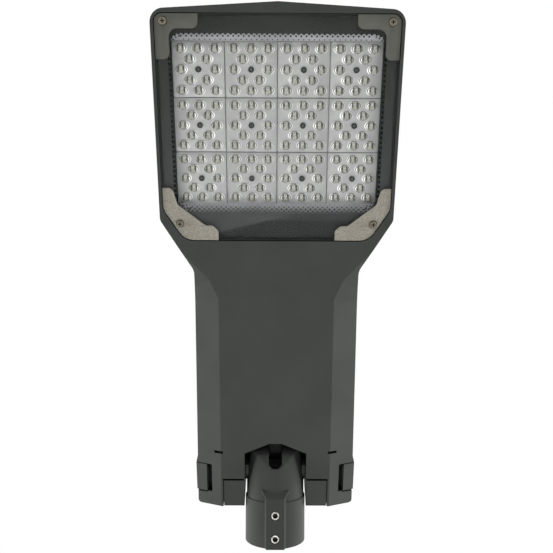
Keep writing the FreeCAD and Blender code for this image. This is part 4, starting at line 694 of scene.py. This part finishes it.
def upright_screws(names, facing, sunk, head, shank, recess, outline, shade_ring=0.0):
    """Screws for the solids of CAD nodes, heads up (1) or down (-1), seated `sunk` below the top."""
    shape = bmesh.new()
    for name in names:
        for low, high in solid_boxes(name):
            middle = (low + high) / 2
            top, end = (high.z, low.z) if facing > 0 else (low.z, high.z)
            seat = Vector((middle.x, middle.y, top - facing * sunk))
            add_screw(shape, seat, (0, 0, facing), head, (shank, abs(seat.z - end)), recess,
                      outline, shade_ring)
    return shape


# %% [markdown]
# ## Screw finishes
# The bracket screws have dulled to a dark olive bronze. The screws of the lens plates are
# blackened, and the set screws are bright steel.

# %% Screw finishes
DULL_SCREW = surface("dulled_screw", colour(92, 88, 76), colour(122, 114, 98), 0.0012,
                     (0.4, 0.55), 0.4, 0.0004, 0.00002)
BLACK_SCREW = surface("blackened_screw", colour(30, 30, 31), colour(40, 40, 41), 0.002,
                      (0.3, 0.45), 0.4, 0.0004, 0.00001)
BRIGHT_SCREW = surface("bright_screw", colour(120, 116, 104), colour(226, 224, 216), 0.0022,
                       (0.25, 0.35), 0.6, 0.0004, 0.00001)
# Painted shade for recess floors and for the ring under the bracket screw heads.
SHADE = surface("screw_recess_shade", colour(10, 10, 9), colour(20, 19, 17), 0.001,
                (0.6, 0.8), 0.0, 0.0004, 0.00001)
SOCKET_GREY = surface("screw_socket_grey", colour(62, 62, 63), colour(74, 74, 75), 0.001,
                      (0.5, 0.6), 0.0, 0.0004, 0.00001)

# %% Bracket screws
HEAD_UP, HEAD_DOWN = 1, -1
# The dark ring around each head is painted shade of the countersink.
shape = upright_screws(("bracket_screws",), HEAD_DOWN, 2.4 * MM, head=(3.5 * MM, 2.35 * MM),
                       shank=2.0 * MM, recess=(2.1 * MM, 1.2 * MM), outline=cross_reach,
                       shade_ring=4.0 * MM)
make_piece("bracket_cross_screws", shape, [DULL_SCREW, SHADE], "housing", ("bracket_screws",))

# %% Lens plate screws
shape = upright_screws(("lens_screws",), HEAD_DOWN, 2.1 * MM, head=(2.9 * MM, 2.1 * MM),
                       shank=1.5 * MM, recess=(1.5 * MM, 0.5 * MM), outline=hexagon_reach)
make_piece("lens_plate_screws", shape, [BLACK_SCREW, SOCKET_GREY], "housing", ("lens_screws",))

# %% Set screws in the pole sleeve
SLEEVE_TILT = math.radians(20)
SET_AXIS = Vector((0.0, -math.sin(SLEEVE_TILT), -math.cos(SLEEVE_TILT)))
SET_DEPTH = 3.2 * MM
shape = bmesh.new()
for low, high in solid_boxes("set_screws"):
    add_screw(shape, (low + high) / 2 - SET_AXIS * SET_DEPTH, SET_AXIS, head=(4.5 * MM, 6.6 * MM),
              shank=(4.8 * MM, 0.0), recess=(3.3 * MM, 4.0 * MM), outline=hexagon_reach)
make_piece("socket_set_screws", shape, [BRIGHT_SCREW, SHADE], "spigot", ("set_screws",))

# %% Screws inside the gear tray
shape = upright_screws(("yoke_screws",), HEAD_UP, 8.0 * MM, head=(6.5 * MM, 8.0 * MM),
                       shank=4.0 * MM, recess=(3.6 * MM, 4.0 * MM), outline=hexagon_reach)
make_piece("yoke_cap_screws", shape, [FINISHES["stainless"], SHADE], "housing", ("yoke_screws",))
shape = upright_screws(("gear_screws", "clamp_screws"), HEAD_UP, 2.4 * MM, head=(3.8 * MM, 2.4 * MM),
                       shank=2.0 * MM, recess=(2.0 * MM, 1.3 * MM), outline=cross_reach)
make_piece("gear_cross_screws", shape, [FINISHES["stainless"], SHADE], "housing",
           ("gear_screws", "clamp_screws"))

# %% [markdown]
# ## Corner brackets
# The press leaves the edges of the stamped brackets slightly rounded. The CAD mesh has the right
# outline, so in a copy of it double points are merged, flat faces are joined, and only the sharp
# edges are bevelled.

# %% Brackets with softened edges
EDGE_RADIUS = 0.3 * MM
FLAT_ANGLE = math.radians(0.5)
SHARP_ANGLE = math.radians(40)


def softened_copy(node, width):
    """Copy of a CAD mesh with its sharp edges bevelled."""
    shape = bmesh.new()
    shape.from_mesh(nodes[node].data)
    bmesh.ops.remove_doubles(shape, verts=shape.verts, dist=1e-6)
    bmesh.ops.dissolve_limit(shape, angle_limit=FLAT_ANGLE, verts=shape.verts,
                             edges=shape.edges)
    sharp = [edge for edge in shape.edges
             if len(edge.link_faces) == 2 and edge.calc_face_angle() > SHARP_ANGLE]
    bmesh.ops.bevel(shape, geom=sharp, offset=width, segments=2, profile=0.5,
                    affect="EDGES", material=-1, clamp_overlap=True)
    return shape


for side in ("left", "right"):
    # The nose brackets take the tone of painted shade, the rear ones the tone of painted light.
    for place, finish in (("front", SHADED_NOSE_METAL), ("rear", LIT_REAR_METAL)):
        node = f"{place}_bracket_{side}"
        make_piece(f"stamped_{node}", softened_copy(node, EDGE_RADIUS), [finish], "housing",
                   (node,), 50.0)

# %% [markdown]
# ## Printed dots
# The dark border of the glass ends in a halftone: rows of dots that shrink away from it. On real
# glass they are printed enamel, a hair thick. Here each dot is a thin disc with eight sides on
# the glass's inner face, and a row is a line of discs with every other row shifted by half.

# %% Window of the printed border
glass_low, glass_high = (Vector(corner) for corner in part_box("glass"))
PRINT_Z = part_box("glass_border")[0][2]
DOT_PITCH = 4.92 * MM
DOT_SIDES = 8
DOT_THICKNESS = 0.06 * MM
DOT_Z = PRINT_Z + 0.05 * MM
WINDOW = {
    "side": glass_high.x - 10.0 * MM,
    "nose": glass_low.y + 16.3 * MM,
    "rear": glass_high.y - 26.3 * MM,
    "nose_corner": 13.0 * MM,
    "rear_corner": (13.0 * MM, 8.3 * MM),
}
print("window in mm:", [round(WINDOW[edge] / MM, 1) for edge in ("side", "nose", "rear")])


# %% Rows of dots
def add_dot(shape, x, y, radius):
    """One printed dot on the glass's inner face."""
    bmesh.ops.create_cone(shape, cap_ends=True, segments=DOT_SIDES, radius1=radius, radius2=radius,
                          depth=DOT_THICKNESS, matrix=Matrix.Translation((x, y, DOT_Z)))


def add_rows(shape, start, end, rows):
    """Rows of dots along a line; each row is (distance inwards, radius, shift)."""
    start = Vector(start)
    end = Vector(end)
    along = end - start
    inwards = Vector((-along.y, along.x)).normalized()
    count = max(1, round(along.length / DOT_PITCH))
    step = along / count
    for distance, radius, shift in rows:
        for i in range(count):
            place = start + step * (i + shift) + inwards * distance
            add_dot(shape, place.x, place.y, radius)


side, nose, rear = WINDOW["side"], WINDOW["nose"], WINDOW["rear"]
curve = WINDOW["nose_corner"]
cut_x, cut_y = WINDOW["rear_corner"]
NOSE_ROWS = ((-0.4 * MM, 1.75 * MM, 0.5), (2.2 * MM, 1.0 * MM, 0.0), (5.3 * MM, 0.62 * MM, 0.5),
             (8.0 * MM, 0.35 * MM, 0.0))
SIDE_ROWS = ((1.2 * MM, 1.1 * MM, 0.5),)
REAR_ROWS = ((-0.5 * MM, 2.1 * MM, 0.5), (1.8 * MM, 1.6 * MM, 0.0), (4.1 * MM, 1.3 * MM, 0.5),
             (6.4 * MM, 0.9 * MM, 0.0), (8.7 * MM, 0.5 * MM, 0.5))
CORNER_ROWS = ((-0.1 * MM, 1.5 * MM), (2.5 * MM, 0.8 * MM))
CORNER_DOTS = 5
shape = bmesh.new()
add_rows(shape, (-side + curve, nose), (side - curve, nose), NOSE_ROWS)
add_rows(shape, (side, nose + curve), (side, rear - cut_y), SIDE_ROWS)
add_rows(shape, (-side, rear - cut_y), (-side, nose + curve), SIDE_ROWS)
add_rows(shape, (side - cut_x, rear), (-side + cut_x, rear), REAR_ROWS)
for turn in (1, -1):
    corner = Vector((turn * (side - curve), nose + curve))
    for step in range(CORNER_DOTS):
        angle = math.radians(90 / CORNER_DOTS * (step + 0.5))
        for distance, radius in CORNER_ROWS:
            arc = curve - distance
            add_dot(shape, corner.x + turn * arc * math.sin(angle),
                    corner.y - arc * math.cos(angle), radius)
add_rows(shape, (side, rear - cut_y), (side - cut_x, rear), REAR_ROWS[:4])
add_rows(shape, (-side + cut_x, rear), (-side, rear - cut_y), REAR_ROWS[:4])
make_piece("printed_dots", shape, [FINISHES["enamel"]], "housing", (), 20.0)

# %% [markdown]
# ## Light and floor
# Plain studio light: a soft even surround, a pale floor below the lamp and a few large lamps.
# Camera, glossy and see-through rays meet plain white instead of the dimmer surround.

# %% World
world = bpy.data.worlds.new("studio")
bpy.context.scene.world = world
world.use_nodes = True
sky = world.node_tree
background = sky.nodes["Background"]
background.inputs["Color"].default_value = (1.0, 1.0, 1.0, 1.0)
background.inputs["Strength"].default_value = 0.28
white = sky.nodes.new("ShaderNodeBackground")
white.inputs["Color"].default_value = (1.0, 1.0, 1.0, 1.0)
white.inputs["Strength"].default_value = 1.0
rays = sky.nodes.new("ShaderNodeLightPath")
seen = calculate(sky, "MAXIMUM", rays.outputs["Is Camera Ray"], rays.outputs["Is Glossy Ray"])
seen = calculate(sky, "MAXIMUM", seen, rays.outputs["Is Transmission Ray"])
either = sky.nodes.new("ShaderNodeMixShader")
sky.links.new(seen, either.inputs["Fac"])
sky.links.new(background.outputs["Background"], either.inputs[1])
sky.links.new(white.outputs["Background"], either.inputs[2])
sky.links.new(either.outputs["Shader"], sky.nodes["World Output"].inputs["Surface"])

# %% Floor
bpy.ops.mesh.primitive_plane_add(size=12.0, location=(0.0, -0.3, -1.5))
floor = bpy.context.object
floor.name = "floor"
floor.data.materials.append(surface("pale_floor", colour(226, 226, 226), colour(232, 232, 232), 0.4,
                                    (0.7, 0.8), 0.0, 0.002, 0.0001))


# %% Lamps
def soft_lamp(name, place, target, size, watts):
    """Large square lamp aimed at a point; it lights but isn't itself mirrored."""
    lamp = bpy.data.lights.new(name, "AREA")
    lamp.shape = "SQUARE"
    lamp.size = size
    lamp.energy = watts
    holder = bpy.data.objects.new(name, lamp)
    holder.location = place
    aim = Vector(target) - Vector(place)
    holder.rotation_euler = aim.to_track_quat("-Z", "Y").to_euler()
    holder.visible_glossy = False
    holder.visible_camera = False
    bpy.context.collection.objects.link(holder)


MIDDLE = (0.0, -0.33, 0.05)
soft_lamp("lamp_under", (-0.1, 0.5, -0.9), (0.0, -0.2, 0.0), 1.0, 5.2)
soft_lamp("lamp_left", (-1.3, -0.3, 0.05), MIDDLE, 0.5, 66.0)
soft_lamp("lamp_right", (1.3, -0.3, 0.05), MIDDLE, 0.5, 72.0)
soft_lamp("lamp_top", (0.4, -0.6, 1.6), MIDDLE, 1.2, 14.0)
